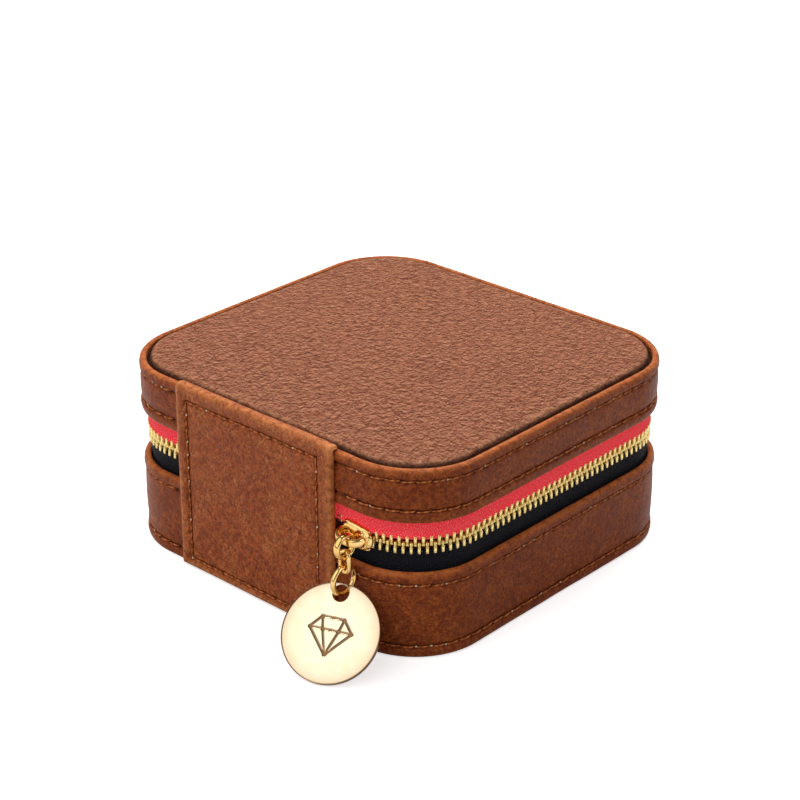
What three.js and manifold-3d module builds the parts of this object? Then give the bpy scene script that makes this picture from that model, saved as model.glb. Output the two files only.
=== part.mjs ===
// A square leather jewellery case: a base and a lid of stitched leather walls, closed by a zip that
// runs round three sides, joined at the back by one leather hinge panel. Millimetres, +Z up. The
// origin is the middle of the underside, -Y is the front and the hinge panel is on +Y.
import * as THREE from 'three';
import * as BufferGeometryUtils from 'three/addons/utils/BufferGeometryUtils.js';
import Module from 'manifold-3d';

const wasm = await Module();
wasm.setup();

// Overall sizes of the closed case
const width = 100; // X, over the leather walls
const depth = 95.3; // Y, over the leather walls
const corner = 18.4; // outer radius of the upright corners
const baseWallHigh = 21.5; // rim of the base wall
const lidWallLow = 33.8; // lower edge of the lid wall
const lidWallHigh = 46.9; // rim round the top of the lid
const zipLine = 28; // height of the middle of the zip
const crownRise = 1.4; // the padded top stands this far over the rim
const cornerSteps = 9; // facets in each upright corner
const edgeSteps = 3; // facets in a rounded rim
const curveSteps = 8; // facets in a curve of a drawn shape
const weldDistance = 1e-4; // corners this close together are one corner
const overcut = 1; // how far a cutting shape runs past what it cuts

// The wall, from the outside in: leather, zip tape, board, lining
const leather = 1.35;
const leatherEdge = 0.7; // rounding of a turned leather edge
const tape = 0.7;
const board = 1.5;
const lining = 0.8;
const seam = 0.25; // glue line or slack between two layers
const tapeInset = leather + seam;
const boardInset = tapeInset + tape + seam;
const liningInset = boardInset + board + seam;
const insideInset = liningInset + lining;
const tapeHold = 4; // how far a tape runs in behind its wall
const liningStep = 0.4; // the lining ends this far inside the wall's rim

// The padded top and the underside
const topPanelInset = 2.5; // leaves a groove inside the rim
const topPanelSink = 1.4; // how far the padded leather starts below the rim
const topPanelEdge = 1.1; // rounding of its shoulder
const foam = 1.2;

// The hinge panel on the back
const hingeWide = 50;
const hingeThick = 1.25;
const hingeGap = 0.3; // open fold between the two halves of the panel
const hingeLow = 0.5; // the panel's lower edge over the surface
const lipThick = 0.75; // the panel's turned end, over the rim of the lid
const lipReach = 2; // how far that end runs in over the rim

// The zip: two rows of teeth, each on a beaded edge that clamps its tape
const teethFront = 1.05; // inset of the row's face
const teethThick = 1.8;
const teethHigh = 2.15;
const teethGap = 0.3; // between the two rows
const clampDeep = 1; // how deep the tape sits in the row
const clampPlay = 0.1;
const tapeBehindPanel = 2; // tape that runs on behind the hinge panel
const stopLong = 1.6;
const stopBare = 0.6; // part of a top stop that shows beside the hinge panel
const stopHidden = 1; // part of it behind the panel
const stopOverTape = 0.5; // a top stop reaches this far past the edge of its tape
const stopGrip = 1.2; // and this far in over it

// The slider
const sliderLong = 9;
const sliderHead = 6.8; // width at the end with the post
const sliderTail = 4.9;
const sliderPlate = 0.9;
const sliderPlay = 0.25; // front plate to teeth
const sliderBackPlay = 0.65; // back plate to teeth, for the turn round a corner
const sliderDrop = 0.3; // the slider hangs this far under the zip line
const sliderFromPanel = 1.2; // slider's head to the edge of the hinge panel
const noseLong = 3; // rounded end at the slider's head
const postFromHead = 0.2; // between the slider's head and its post
const postLong = 1.2;
const postHigh = 1.2;
const bridgeSpan = 4.4; // clear opening under the bridge
const bridgeLeg = 1.1;
const bridgeClear = 2.35; // front plate to the underside of the bridge
const bridgeThick = 0.9;
const bridgeWide = 1.3;
const bridgeSeat = 0.02; // between the bridge's feet and the front plate
const bridgeInnerCurve = 0.5;
const bridgeOuterCurve = 1;
const bridgeSteps = 6; // facets in each of its curves

// The chain from the slider to the tag
const wire = 1.2; // of the pull ring
const pullRingRadius = 2.6; // to the middle of the wire
const linkWire = 1.1;
const linkLong = 5; // between the centres of its end turns' wires
const linkWide = 2.5;
const tagRingWire = 1.25;
const tagRingRadius = 3.3;
const linkPlay = 0.2; // daylight between one link and the next
const wireSides = 10;
const turnSteps = 14; // facets in each half turn of a wire
const chainSide = -0.2; // from the middle of the slider towards its tail
const ringFromPlate = 0.25; // pull ring to the front plate
const ringDrop = 0.8; // middle of the pull ring under the middle of the slider
const linkForward = 0.1; // the link hangs this far in front of the pull ring
const tagRingForward = 0.4; // and the tag ring this far in front of the link

// The tag
const tagRadius = 11.4;
const tagThick = 1.3;
const tagEdge = 0.2;
const tagHole = 1.9; // radius
const tagForward = 0.75; // its hole stands this far in front of the tag ring
const tagLift = 0.05; // and this far over the lowest part of that ring
const tagSteps = 18; // facets in each half of its outline
const tagHoleFromCentre = 9.05;
const tagYaw = 20.6; // degrees that the tag faces away from +Y, towards -X

// Inside the base
const floorBoard = 1.5;
const rollCount = 4;
const rollHigh = 12.5;
const rollGap = 0.3;
const rollBoard = 1.2;
const dividerThick = 1.8;
const dividerHigh = 14.5;
const compartmentShare = 0.56; // where the cross divider stands, as a part of the inside width
const insideGap = 0.3; // between any two loose pieces inside

// Inside the lid
const topBoard = 1.6;
const mirrorThick = 1;
const mirrorInset = 12; // from the inside of the lining to the glass
const mirrorCorner = 1; // least radius of the glass's corners
const mirrorFrame = 5;
const mirrorFrameThick = 1.4;

// Levels that several pieces share
const undersideThick = leather;
const floorBoardLow = undersideThick + seam;
const liningFloorLow = floorBoardLow + floorBoard + seam;
const floorHigh = liningFloorLow + lining;
const baseInsideHigh = baseWallHigh - liningStep;
const topPanelLow = lidWallHigh - topPanelSink;
const foamLow = topPanelLow - seam - foam;
const topBoardLow = foamLow - seam - topBoard;
const ceilingHigh = topBoardLow - seam;
const ceilingLow = ceilingHigh - lining;
const lidInsideLow = lidWallLow + liningStep;
const upperTeethLow = zipLine + teethGap / 2;
const lowerTeethHigh = zipLine - teethGap / 2;
const upperTapeLow = upperTeethLow + teethHigh - clampDeep + clampPlay;
const lowerTapeHigh = lowerTeethHigh - teethHigh + clampDeep - clampPlay;
const backWall = depth / 2;

// ---------------------------------------------------------------- materials

function finish(color, roughness, metalness = 0) {
  return new THREE.MeshStandardMaterial({ color, roughness, metalness });
}

const brownLeather = finish('#7d452b', 0.55);
const topLeather = finish('#a0634a', 0.55);
const coralTape = finish('#e0424a', 0.85);
const navyTape = finish('#17161c', 0.85);
const brass = finish('#d9b25a', 0.3, 1);
const gold = finish('#f0d898', 0.18, 1);
const greyBoard = finish('#8a8175', 0.9);
const suede = finish('#d8c8ae', 0.95);
const whiteFoam = finish('#efece2', 0.95);
const silverGlass = finish('#dfe5e8', 0.05, 1);

// ---------------------------------------------------------------- helpers

const root = new THREE.Group();

function addPiece(name, geometry, material, parent = root) {
  const mesh = new THREE.Mesh(geometry, material);
  mesh.name = name;
  parent.add(mesh);
  return mesh;
}

// A closed geometry whose faces point out, with its shared corners merged.
function closed(geometry) {
  const bare = geometry.clone();
  bare.deleteAttribute('normal');
  bare.deleteAttribute('uv');
  const merged = BufferGeometryUtils.mergeVertices(bare, weldDistance);
  const index = merged.index.array;
  const p = merged.attributes.position;
  const a = new THREE.Vector3();
  const b = new THREE.Vector3();
  const c = new THREE.Vector3();
  let volume = 0;
  for (let i = 0; i < index.length; i += 3) {
    a.fromBufferAttribute(p, index[i]);
    b.fromBufferAttribute(p, index[i + 1]);
    c.fromBufferAttribute(p, index[i + 2]);
    volume += a.dot(b.cross(c));
  }
  if (volume < 0) {
    for (let i = 0; i < index.length; i += 3) {
      [index[i], index[i + 1]] = [index[i + 1], index[i]];
    }
  }
  return merged;
}

function solid(geometry) {
  const g = closed(geometry);
  const vertProperties = new Float32Array(g.attributes.position.array);
  const triVerts = new Uint32Array(g.index.array);
  return new wasm.Manifold(new wasm.Mesh({ numProp: 3, vertProperties, triVerts }));
}

function geometryOf(manifold) {
  const mesh = manifold.getMesh();
  const geometry = new THREE.BufferGeometry();
  geometry.setAttribute('position', new THREE.BufferAttribute(mesh.vertProperties.slice(), 3));
  geometry.setIndex(new THREE.BufferAttribute(mesh.triVerts.slice(), 1));
  return geometry;
}

function surface(points, faces) {
  const geometry = new THREE.BufferGeometry();
  geometry.setAttribute('position', new THREE.Float32BufferAttribute(points.flat(), 3));
  geometry.setIndex(faces);
  return closed(geometry);
}

// One station of the outline: the centre of its corner and the way out from it. The point at any
// inset from the outer wall is the centre plus (corner - inset) times that direction.
function station(x, y, degrees) {
  const angle = THREE.MathUtils.degToRad(degrees);
  return { x, y, outX: Math.cos(angle), outY: Math.sin(angle) };
}

// The stations anticlockwise from the back, over the -X side, the front and the +X side.
function roundTheCase() {
  const stations = [];
  const corners = [[-1, 1, 90], [-1, -1, 180], [1, -1, 270], [1, 1, 0]];
  for (const [signX, signY, from] of corners) {
    const x = signX * (width / 2 - corner);
    const y = signY * (depth / 2 - corner);
    for (let i = 0; i <= cornerSteps; i += 1) {
      stations.push(station(x, y, from + (90 * i) / cornerSteps));
    }
  }
  return stations;
}

// The part of the outline from a distance along the zip, past the panel's edge on -X, round to x.
function zipStations(fromPanel, endX) {
  const y = depth / 2 - corner;
  const straight = width / 2 - corner - hingeWide / 2;
  const all = roundTheCase();
  if (fromPanel < straight) {
    return [station(-hingeWide / 2 - fromPanel, y, 90), ...all, station(endX, y, 90)];
  }
  const turned = 90 + THREE.MathUtils.radToDeg((fromPanel - straight) / corner);
  const start = station(all[0].x, y, turned);
  const rest = all.filter((s, i) => i >= cornerSteps + 1 || 90 + (90 * i) / cornerSteps > turned);
  return [start, ...rest, station(endX, y, 90)];
}

// Carries a profile of [inset, z] corners along the stations; an open run gets flat ends.
function sweep(profile, stations, isRing) {
  const n = profile.length;
  const points = stations.flatMap((s) => profile.map(([inset, z]) => [
    s.x + s.outX * (corner - inset),
    s.y + s.outY * (corner - inset),
    z,
  ]));
  const faces = [];
  const spans = isRing ? stations.length : stations.length - 1;
  for (let i = 0; i < spans; i += 1) {
    const here = i * n;
    const next = ((i + 1) % stations.length) * n;
    for (let j = 0; j < n; j += 1) {
      const k = (j + 1) % n;
      faces.push(here + j, next + j, next + k, here + j, next + k, here + k);
    }
  }
  if (!isRing) {
    const outline = profile.map(([inset, z]) => new THREE.Vector2(inset, z));
    const turn = Math.sign(THREE.ShapeUtils.area(outline));
    const last = (stations.length - 1) * n;
    for (const [a, b, c] of THREE.ShapeUtils.triangulateShape(outline, [])) {
      const area = THREE.ShapeUtils.area([outline[a], outline[b], outline[c]]);
      const [p, q] = Math.sign(area) === turn ? [b, c] : [c, b];
      faces.push(a, p, q, last + a, last + q, last + p);
    }
  }
  return surface(points, faces);
}

function outlineShape(inset) {
  return new THREE.Shape(roundTheCase().map((s) => new THREE.Vector2(
    s.x + s.outX * (corner - inset),
    s.y + s.outY * (corner - inset),
  )));
}

// A flat sheet with the case's outline, between two levels; edge rounds its rim.
function plate(inset, low, high, edge = 0) {
  const geometry = new THREE.ExtrudeGeometry(outlineShape(inset), {
    depth: high - low - 2 * edge,
    bevelEnabled: edge > 0,
    bevelThickness: edge,
    bevelSize: edge,
    bevelOffset: -edge,
    bevelSegments: edgeSteps,
    steps: 1,
  });
  return geometry.translate(0, 0, low + edge);
}

function block(x0, x1, y0, y1, z0, z1) {
  const geometry = new THREE.BoxGeometry(x1 - x0, y1 - y0, z1 - z0);
  return geometry.translate((x0 + x1) / 2, (y0 + y1) / 2, (z0 + z1) / 2);
}

// A shape drawn in Y and Z, carried along X.
function alongX(shape, x0, x1) {
  const geometry = new THREE.ExtrudeGeometry(shape, {
    depth: x1 - x0, bevelEnabled: false, steps: 1, curveSegments: curveSteps,
  });
  const yAxis = new THREE.Vector3(0, 1, 0);
  const zAxis = new THREE.Vector3(0, 0, 1);
  const xAxis = new THREE.Vector3(1, 0, 0);
  return geometry.applyMatrix4(new THREE.Matrix4().makeBasis(yAxis, zAxis, xAxis)).translate(x0, 0, 0);
}

// A shape drawn in X and Z, carried along Y from y0 to y1.
function alongY(shape, y0, y1) {
  const geometry = new THREE.ExtrudeGeometry(shape, {
    depth: y1 - y0, bevelEnabled: false, steps: 1, curveSegments: curveSteps,
  });
  return geometry.rotateX(Math.PI / 2).translate(0, y1, 0);
}

// A closed loop of round wire that lies in the XY plane: two straights of the given length along Y
// joined by half turns of the given radius, measured to the middle of the wire.
function wireLoop(radius, straight, thickness) {
  const points = [];
  for (const side of [1, -1]) {
    for (let i = 0; i <= turnSteps; i += 1) {
      const angle = (side > 0 ? 0 : Math.PI) + (Math.PI * i) / turnSteps;
      if (straight > 0 || i < turnSteps) {
        points.push({
          x: radius * Math.cos(angle),
          y: radius * Math.sin(angle) + (side * straight) / 2,
          outX: Math.cos(angle),
          outY: Math.sin(angle),
        });
      }
    }
  }
  const corners = points.flatMap((p) => Array.from({ length: wireSides }, (_, j) => {
    const angle = (2 * Math.PI * j) / wireSides;
    const out = (thickness / 2) * Math.cos(angle);
    return [p.x + p.outX * out, p.y + p.outY * out, (thickness / 2) * Math.sin(angle)];
  }));
  const faces = [];
  for (let i = 0; i < points.length; i += 1) {
    const here = i * wireSides;
    const next = ((i + 1) % points.length) * wireSides;
    for (let j = 0; j < wireSides; j += 1) {
      const k = (j + 1) % wireSides;
      faces.push(here + j, next + j, next + k, here + j, next + k, here + k);
    }
  }
  return surface(corners, faces);
}

// ---------------------------------------------------------------- leather walls and panels

// A wall of leather whose two long edges are turned and rounded.
function wallProfile(low, high) {
  const e = leatherEdge / 2;
  return [
    [e, low], [leather - e, low], [leather, low + e], [leather, high - e],
    [leather - e, high], [e, high], [0, high - leatherEdge], [0, low + leatherEdge],
  ];
}

function addWalls() {
  const ring = roundTheCase();
  addPiece('base_side_band', sweep(wallProfile(0, baseWallHigh), ring, true), brownLeather);
  addPiece('lid_side_band', sweep(wallProfile(lidWallLow, lidWallHigh), ring, true), brownLeather);
}

function addUnderside() {
  addPiece('base_bottom_panel', closed(plate(leather + seam, 0, undersideThick)), brownLeather);
  const boardLow = floorBoardLow;
  addPiece('base_floor_board', closed(plate(tapeInset, boardLow, boardLow + floorBoard)), greyBoard);
}

function addTop() {
  const panel = plate(topPanelInset, topPanelLow, lidWallHigh + crownRise, topPanelEdge);
  addPiece('lid_top_panel', closed(panel), topLeather);
  addPiece('lid_foam_pad', closed(plate(topPanelInset, foamLow, foamLow + foam)), whiteFoam);
  const boardHigh = topBoardLow + topBoard;
  addPiece('lid_top_board', closed(plate(leather + seam, topBoardLow, boardHigh)), greyBoard);
}

function addHingePanel() {
  const inner = backWall + seam;
  const outer = inner + hingeThick;
  const half = hingeWide / 2;
  const foldLow = zipLine - hingeGap / 2;
  const foldHigh = zipLine + hingeGap / 2;
  addPiece('hinge_panel_lower', closed(block(-half, half, inner, outer, hingeLow, foldLow)), brownLeather);
  const lipLow = lidWallHigh + seam;
  const lipHigh = lipLow + lipThick;
  const shape = new THREE.Shape([
    new THREE.Vector2(inner, foldHigh),
    new THREE.Vector2(outer, foldHigh),
    new THREE.Vector2(outer, lipHigh - lipThick / 2),
    new THREE.Vector2(outer - lipThick / 2, lipHigh),
    new THREE.Vector2(backWall - lipReach, lipHigh),
    new THREE.Vector2(backWall - lipReach, lipLow),
    new THREE.Vector2(inner, lipLow),
  ]);
  addPiece('hinge_panel_upper', closed(alongX(shape, -half, half)), brownLeather);
}

// ---------------------------------------------------------------- boards and linings

function addBoards() {
  const ring = roundTheCase();
  const upright = (low, high) => [
    [boardInset, low], [boardInset + board, low], [boardInset + board, high], [boardInset, high],
  ];
  const baseLow = floorBoardLow + floorBoard + seam;
  addPiece('base_wall_board', sweep(upright(baseLow, baseInsideHigh), ring, true), greyBoard);
  const lidHigh = topBoardLow - seam;
  addPiece('lid_wall_board', sweep(upright(lidInsideLow, lidHigh), ring, true), greyBoard);
}

// A lining tray: its floor lies between two levels, and its wall runs on to the rim level.
function liningTray(floorLow, floorTop, rim) {
  const low = Math.min(floorLow, rim);
  const high = Math.max(floorTop, rim);
  const outside = solid(plate(liningInset, low, high));
  const opensUp = rim > floorTop;
  const hollow = opensUp
    ? plate(insideInset, floorTop, high + overcut)
    : plate(insideInset, low - overcut, floorLow);
  return geometryOf(outside.subtract(solid(hollow)));
}

function addLinings() {
  addPiece('base_lining', liningTray(liningFloorLow, floorHigh, baseInsideHigh), suede);
  addPiece('lid_lining', liningTray(ceilingLow, ceilingHigh, lidInsideLow), suede);
}

// ---------------------------------------------------------------- zip

function addTapes() {
  const endX = hingeWide / 2 - tapeBehindPanel;
  const stations = zipStations(-tapeBehindPanel, endX);
  const strip = (low, high) => [
    [tapeInset, low], [tapeInset + tape, low], [tapeInset + tape, high], [tapeInset, high],
  ];
  const lower = strip(baseWallHigh - tapeHold, lowerTapeHigh);
  addPiece('lower_zip_tape', sweep(lower, stations, false), navyTape);
  const upper = strip(upperTapeLow, lidWallLow + tapeHold);
  addPiece('upper_zip_tape', sweep(upper, stations, false), coralTape);
}

// A row of teeth as its clamped edge: a bar with a slot for the tape. up is 1 on the upper row.
function teethProfile(zipSide, up) {
  const front = teethFront;
  const back = teethFront + teethThick;
  const slotFront = tapeInset - clampPlay;
  const slotBack = tapeInset + tape + clampPlay;
  const far = zipSide + up * teethHigh;
  const slotEnd = far - up * clampDeep;
  return [
    [front, zipSide], [back, zipSide], [back, far], [slotBack, far],
    [slotBack, slotEnd], [slotFront, slotEnd], [slotFront, far], [front, far],
  ];
}

function sliderMiddle() {
  return sliderFromPanel + sliderLong / 2;
}

function addTeeth() {
  const postEnd = sliderFromPanel + postFromHead + postLong;
  const endX = hingeWide / 2 + stopLong + insideGap;
  const stations = zipStations(postEnd + insideGap, endX);
  addPiece('lower_zip_teeth', sweep(teethProfile(lowerTeethHigh, -1), stations, false), brass);
  addPiece('upper_zip_teeth', sweep(teethProfile(upperTeethLow, 1), stations, false), brass);
}

// A small metal stop, clamped over the edge of a tape next to the hinge panel.
function addStops() {
  const outer = backWall - teethFront;
  const inner = outer - teethThick;
  const slotIn = backWall - tapeInset - tape - clampPlay;
  const slotOut = backWall - tapeInset + clampPlay;
  const slotLow = upperTapeLow - clampPlay;
  const slot = solid(block(-width, width, slotIn, slotOut, slotLow, lidWallLow));
  const lowSlotHigh = lowerTapeHigh + clampPlay;
  const lowSlot = solid(block(-width, width, slotIn, slotOut, baseWallHigh, lowSlotHigh));
  const left = -hingeWide / 2;
  const upperStop = block(left - stopBare, left + stopHidden, inner, outer,
    upperTapeLow - stopOverTape, upperTapeLow + stopGrip);
  addPiece('upper_top_stop', geometryOf(solid(upperStop).subtract(slot)), brass);
  const lowerStop = block(left - stopBare, left + stopHidden, inner, outer,
    lowerTapeHigh - stopGrip, lowerTapeHigh + stopOverTape);
  addPiece('lower_top_stop', geometryOf(solid(lowerStop).subtract(lowSlot)), brass);
  const right = hingeWide / 2;
  const endStop = block(right, right + stopLong, inner, outer,
    lowerTeethHigh - teethHigh, upperTeethLow + teethHigh);
  const cut = solid(endStop).subtract(slot).subtract(lowSlot);
  addPiece('zip_end_stop', geometryOf(cut), brass);
}

// ---------------------------------------------------------------- slider, chain and tag

// The slider's own frame: its middle on the outer wall, +X towards its head, +Y outwards.
function sliderFrame() {
  const frame = new THREE.Group();
  const straight = width / 2 - corner - hingeWide / 2;
  const along = sliderMiddle();
  const centreX = -(width / 2 - corner);
  const centreY = depth / 2 - corner;
  if (along <= straight) {
    frame.position.set(-hingeWide / 2 - along, backWall, 0);
  } else {
    const angle = (along - straight) / corner;
    frame.position.set(centreX - corner * Math.sin(angle), centreY + corner * Math.cos(angle), 0);
    frame.rotation.z = angle;
  }
  root.add(frame);
  return frame;
}

const sliderZ = zipLine - sliderDrop;
const frontInner = -teethFront + sliderPlay;
const frontOuter = frontInner + sliderPlate;
const backOuter = -teethFront - teethThick - sliderBackPlay;
const bridgeLow = frontOuter + bridgeClear;
const bridgeMiddle = bridgeLow + bridgeThick / 2;

// The slider's plates, wide at the head and narrow at the tail, seen from the front.
function plateShape() {
  const half = sliderLong / 2;
  const head = sliderHead / 2;
  const tail = sliderTail / 2;
  const shape = new THREE.Shape();
  shape.moveTo(-half, sliderZ - tail);
  shape.lineTo(half - noseLong, sliderZ - head);
  shape.quadraticCurveTo(half, sliderZ - head, half, sliderZ);
  shape.quadraticCurveTo(half, sliderZ + head, half - noseLong, sliderZ + head);
  shape.lineTo(-half, sliderZ + tail);
  return shape;
}

function addSlider(frame) {
  const front = solid(alongY(plateShape(), frontInner, frontOuter));
  const back = solid(alongY(plateShape(), backOuter - sliderPlate, backOuter));
  const postHead = sliderLong / 2 - postFromHead;
  const post = solid(block(postHead - postLong, postHead, backOuter - sliderPlate / 2,
    frontInner + sliderPlate / 2, sliderZ - postHigh / 2, sliderZ + postHigh / 2));
  addPiece('slider_body', geometryOf(front.add(post).add(back)), gold, frame);
}

// An arch over the front plate. Its feet stand on the plate, and the pull ring runs under it.
function addBridge(frame) {
  const foot = frontOuter + bridgeSeat;
  const inner = bridgeSpan / 2;
  const outer = inner + bridgeLeg;
  const top = bridgeLow + bridgeThick;
  const r = bridgeInnerCurve;
  const q = bridgeOuterCurve;
  const shape = new THREE.Shape();
  shape.moveTo(-outer, foot);
  shape.lineTo(-inner, foot);
  shape.lineTo(-inner, bridgeLow - r);
  shape.quadraticCurveTo(-inner, bridgeLow, -inner + r, bridgeLow);
  shape.lineTo(inner - r, bridgeLow);
  shape.quadraticCurveTo(inner, bridgeLow, inner, bridgeLow - r);
  shape.lineTo(inner, foot);
  shape.lineTo(outer, foot);
  shape.lineTo(outer, top - q);
  shape.quadraticCurveTo(outer, top, outer - q, top);
  shape.lineTo(-outer + q, top);
  shape.quadraticCurveTo(-outer, top, -outer, top - q);
  const geometry = new THREE.ExtrudeGeometry(shape, {
    depth: bridgeWide, bevelEnabled: false, steps: 1, curveSegments: bridgeSteps,
  });
  addPiece('slider_bridge', closed(geometry.translate(0, 0, sliderZ - bridgeWide / 2)), gold, frame);
}

// Each link hangs inside the one above, with a little daylight between the wires.
const ringY = frontOuter + ringFromPlate + wire / 2 + pullRingRadius;
const ringZ = sliderZ - ringDrop;
const pullRingLow = ringZ - pullRingRadius;
const linkHigh = pullRingLow + wire / 2 + linkPlay + linkWire / 2;
const linkLow = linkHigh - linkLong;
const linkY = ringY + linkForward;
const tagRingHigh = linkLow + linkWire / 2 + linkPlay + tagRingWire / 2;
const tagRingY = linkY + tagRingForward;
const tagRingZ = tagRingHigh - tagRingRadius;

function addChain(frame) {
  const pull = addPiece('pull_ring', wireLoop(pullRingRadius, 0, wire), gold, frame);
  pull.rotation.set(0, Math.PI / 2, 0);
  pull.position.set(chainSide, ringY, ringZ);
  const turn = linkWide / 2;
  const link = addPiece('pull_link', wireLoop(turn, linkLong - 2 * turn, linkWire), gold, frame);
  link.rotation.set(Math.PI / 2, 0, 0);
  link.position.set(chainSide, linkY, (linkHigh + linkLow) / 2);
  const tagRing = addPiece('tag_ring', wireLoop(tagRingRadius, 0, tagRingWire), gold, frame);
  tagRing.rotation.set(0, Math.PI / 2, 0);
  tagRing.position.set(chainSide, tagRingY, tagRingZ);
}

// A round tag that hangs by its hole from the tag ring and leans with its edge on the surface.
function addTag(frame) {
  const shape = new THREE.Shape();
  shape.absarc(0, 0, tagRadius, 0, 2 * Math.PI);
  const hole = new THREE.Path();
  hole.absarc(0, -tagHoleFromCentre, tagHole, 0, 2 * Math.PI);
  shape.holes.push(hole);
  const geometry = new THREE.ExtrudeGeometry(shape, {
    depth: tagThick - 2 * tagEdge,
    bevelEnabled: true,
    bevelThickness: tagEdge,
    bevelSize: tagEdge,
    bevelOffset: -tagEdge,
    bevelSegments: 1,
    steps: 1,
    curveSegments: tagSteps,
  });
  geometry.translate(0, tagHoleFromCentre, -tagThick / 2 + tagEdge);
  const holeZ = tagRingZ - tagRingRadius + tagLift;
  const long = tagHoleFromCentre + tagRadius;
  const tilt = Math.asin(holeZ / Math.hypot(long, tagThick / 2)) - Math.atan2(tagThick / 2, long);
  const tag = addPiece('tag_disc', closed(geometry), gold, frame);
  tag.rotation.set(-tilt, 0, THREE.MathUtils.degToRad(tagYaw), 'ZYX');
  tag.position.set(chainSide, tagRingY + tagForward, holeZ);
}

// ---------------------------------------------------------------- inside

// Trims a piece to the space inside the base's lining, with its round corners.
function fitInside(geometry) {
  const space = solid(plate(insideInset + insideGap, floorHigh, lidWallHigh));
  return geometryOf(solid(geometry).intersect(space));
}

function addRingRolls() {
  const halfX = width / 2 - insideInset - insideGap;
  const front = -depth / 2 + insideInset + insideGap;
  const back = -dividerThick / 2 - insideGap;
  const boardHigh = floorHigh + insideGap + rollBoard;
  const under = block(-halfX, halfX, front, back, floorHigh + insideGap, boardHigh);
  addPiece('ring_roll_board', fitInside(under), greyBoard);
  const pitch = (back - front + rollGap) / rollCount;
  for (let i = 0; i < rollCount; i += 1) {
    const y0 = front + i * pitch;
    const y1 = y0 + pitch - rollGap;
    const low = boardHigh + insideGap;
    const high = floorHigh + rollHigh;
    const r = (y1 - y0) / 2;
    const shape = new THREE.Shape();
    shape.moveTo(y0, low);
    shape.lineTo(y1, low);
    shape.lineTo(y1, high - r);
    shape.absarc(y0 + r, high - r, r, 0, Math.PI);
    addPiece(`ring_roll_${i + 1}`, fitInside(alongX(shape, -halfX, halfX)), suede);
  }
}

function addDividers() {
  const low = floorHigh + insideGap;
  const high = floorHigh + dividerHigh;
  const halfX = width / 2 - insideInset - insideGap;
  const half = dividerThick / 2;
  addPiece('divider_long', fitInside(block(-halfX, halfX, -half, half, low, high)), suede);
  const x = -halfX + compartmentShare * 2 * halfX;
  const back = depth / 2 - insideInset - insideGap;
  const cross = block(x - half, x + half, half + insideGap, back, low, high);
  addPiece('divider_cross', fitInside(cross), suede);
}

function addMirror() {
  const high = ceilingLow - insideGap;
  const inset = insideInset + mirrorInset;
  const inner = Math.min(inset, corner - mirrorCorner);
  const glass = plate(inner, high - mirrorThick, high);
  addPiece('mirror_glass', closed(glass), silverGlass);
  const outside = solid(plate(inner - mirrorFrame, high - mirrorFrameThick, high));
  const openLow = high - mirrorFrameThick - overcut;
  const opening = solid(plate(inner - insideGap, openLow, high + overcut));
  addPiece('mirror_frame', geometryOf(outside.subtract(opening)), brownLeather);
}

// ---------------------------------------------------------------- assembly

addWalls();
addUnderside();
addTop();
addHingePanel();
addBoards();
addLinings();
addTapes();
addTeeth();
addStops();
const slider = sliderFrame();
addSlider(slider);
addBridge(slider);
addChain(slider);
addTag(slider);
addRingRolls();
addDividers();
addMirror();

export default root;
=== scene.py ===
# %% [markdown]
# # A zipped leather jewellery case
# The case is a base and a lid of stitched leather walls over board. A metal zip closes three sides
# and a leather hinge panel joins the back. This lesson builds its visible pieces around the packed
# CAD model, which keeps every size and every joint. Lengths are worked out in millimetres.

# %% Load the frame
import math

import bpy
import numpy as np
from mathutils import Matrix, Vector


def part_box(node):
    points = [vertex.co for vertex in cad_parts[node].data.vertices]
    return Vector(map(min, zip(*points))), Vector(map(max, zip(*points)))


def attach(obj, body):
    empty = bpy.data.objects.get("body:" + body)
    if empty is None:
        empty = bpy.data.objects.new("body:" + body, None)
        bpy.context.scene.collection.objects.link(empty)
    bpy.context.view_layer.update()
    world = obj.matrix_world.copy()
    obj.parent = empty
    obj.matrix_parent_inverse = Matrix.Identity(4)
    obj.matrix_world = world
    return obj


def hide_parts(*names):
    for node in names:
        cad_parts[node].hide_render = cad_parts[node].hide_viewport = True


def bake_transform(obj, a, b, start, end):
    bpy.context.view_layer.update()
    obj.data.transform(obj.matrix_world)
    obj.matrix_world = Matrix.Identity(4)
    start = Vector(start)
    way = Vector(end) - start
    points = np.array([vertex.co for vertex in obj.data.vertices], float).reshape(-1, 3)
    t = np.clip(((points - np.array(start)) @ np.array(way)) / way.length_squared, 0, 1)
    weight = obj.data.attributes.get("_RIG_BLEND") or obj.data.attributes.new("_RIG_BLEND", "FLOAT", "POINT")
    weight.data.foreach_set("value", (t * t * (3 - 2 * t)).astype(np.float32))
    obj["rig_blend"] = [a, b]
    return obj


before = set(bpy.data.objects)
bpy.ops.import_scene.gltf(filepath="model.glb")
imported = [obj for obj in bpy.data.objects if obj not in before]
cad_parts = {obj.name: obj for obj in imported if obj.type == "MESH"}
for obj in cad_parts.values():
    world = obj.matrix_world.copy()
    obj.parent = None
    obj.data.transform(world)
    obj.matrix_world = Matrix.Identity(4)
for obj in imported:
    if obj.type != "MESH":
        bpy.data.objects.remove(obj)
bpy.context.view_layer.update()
MM = 0.001


def box_of(node):
    """A CAD node's lowest and highest corners, in millimetres."""
    low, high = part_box(node)
    return np.array(low) / MM, np.array(high) / MM
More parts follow.
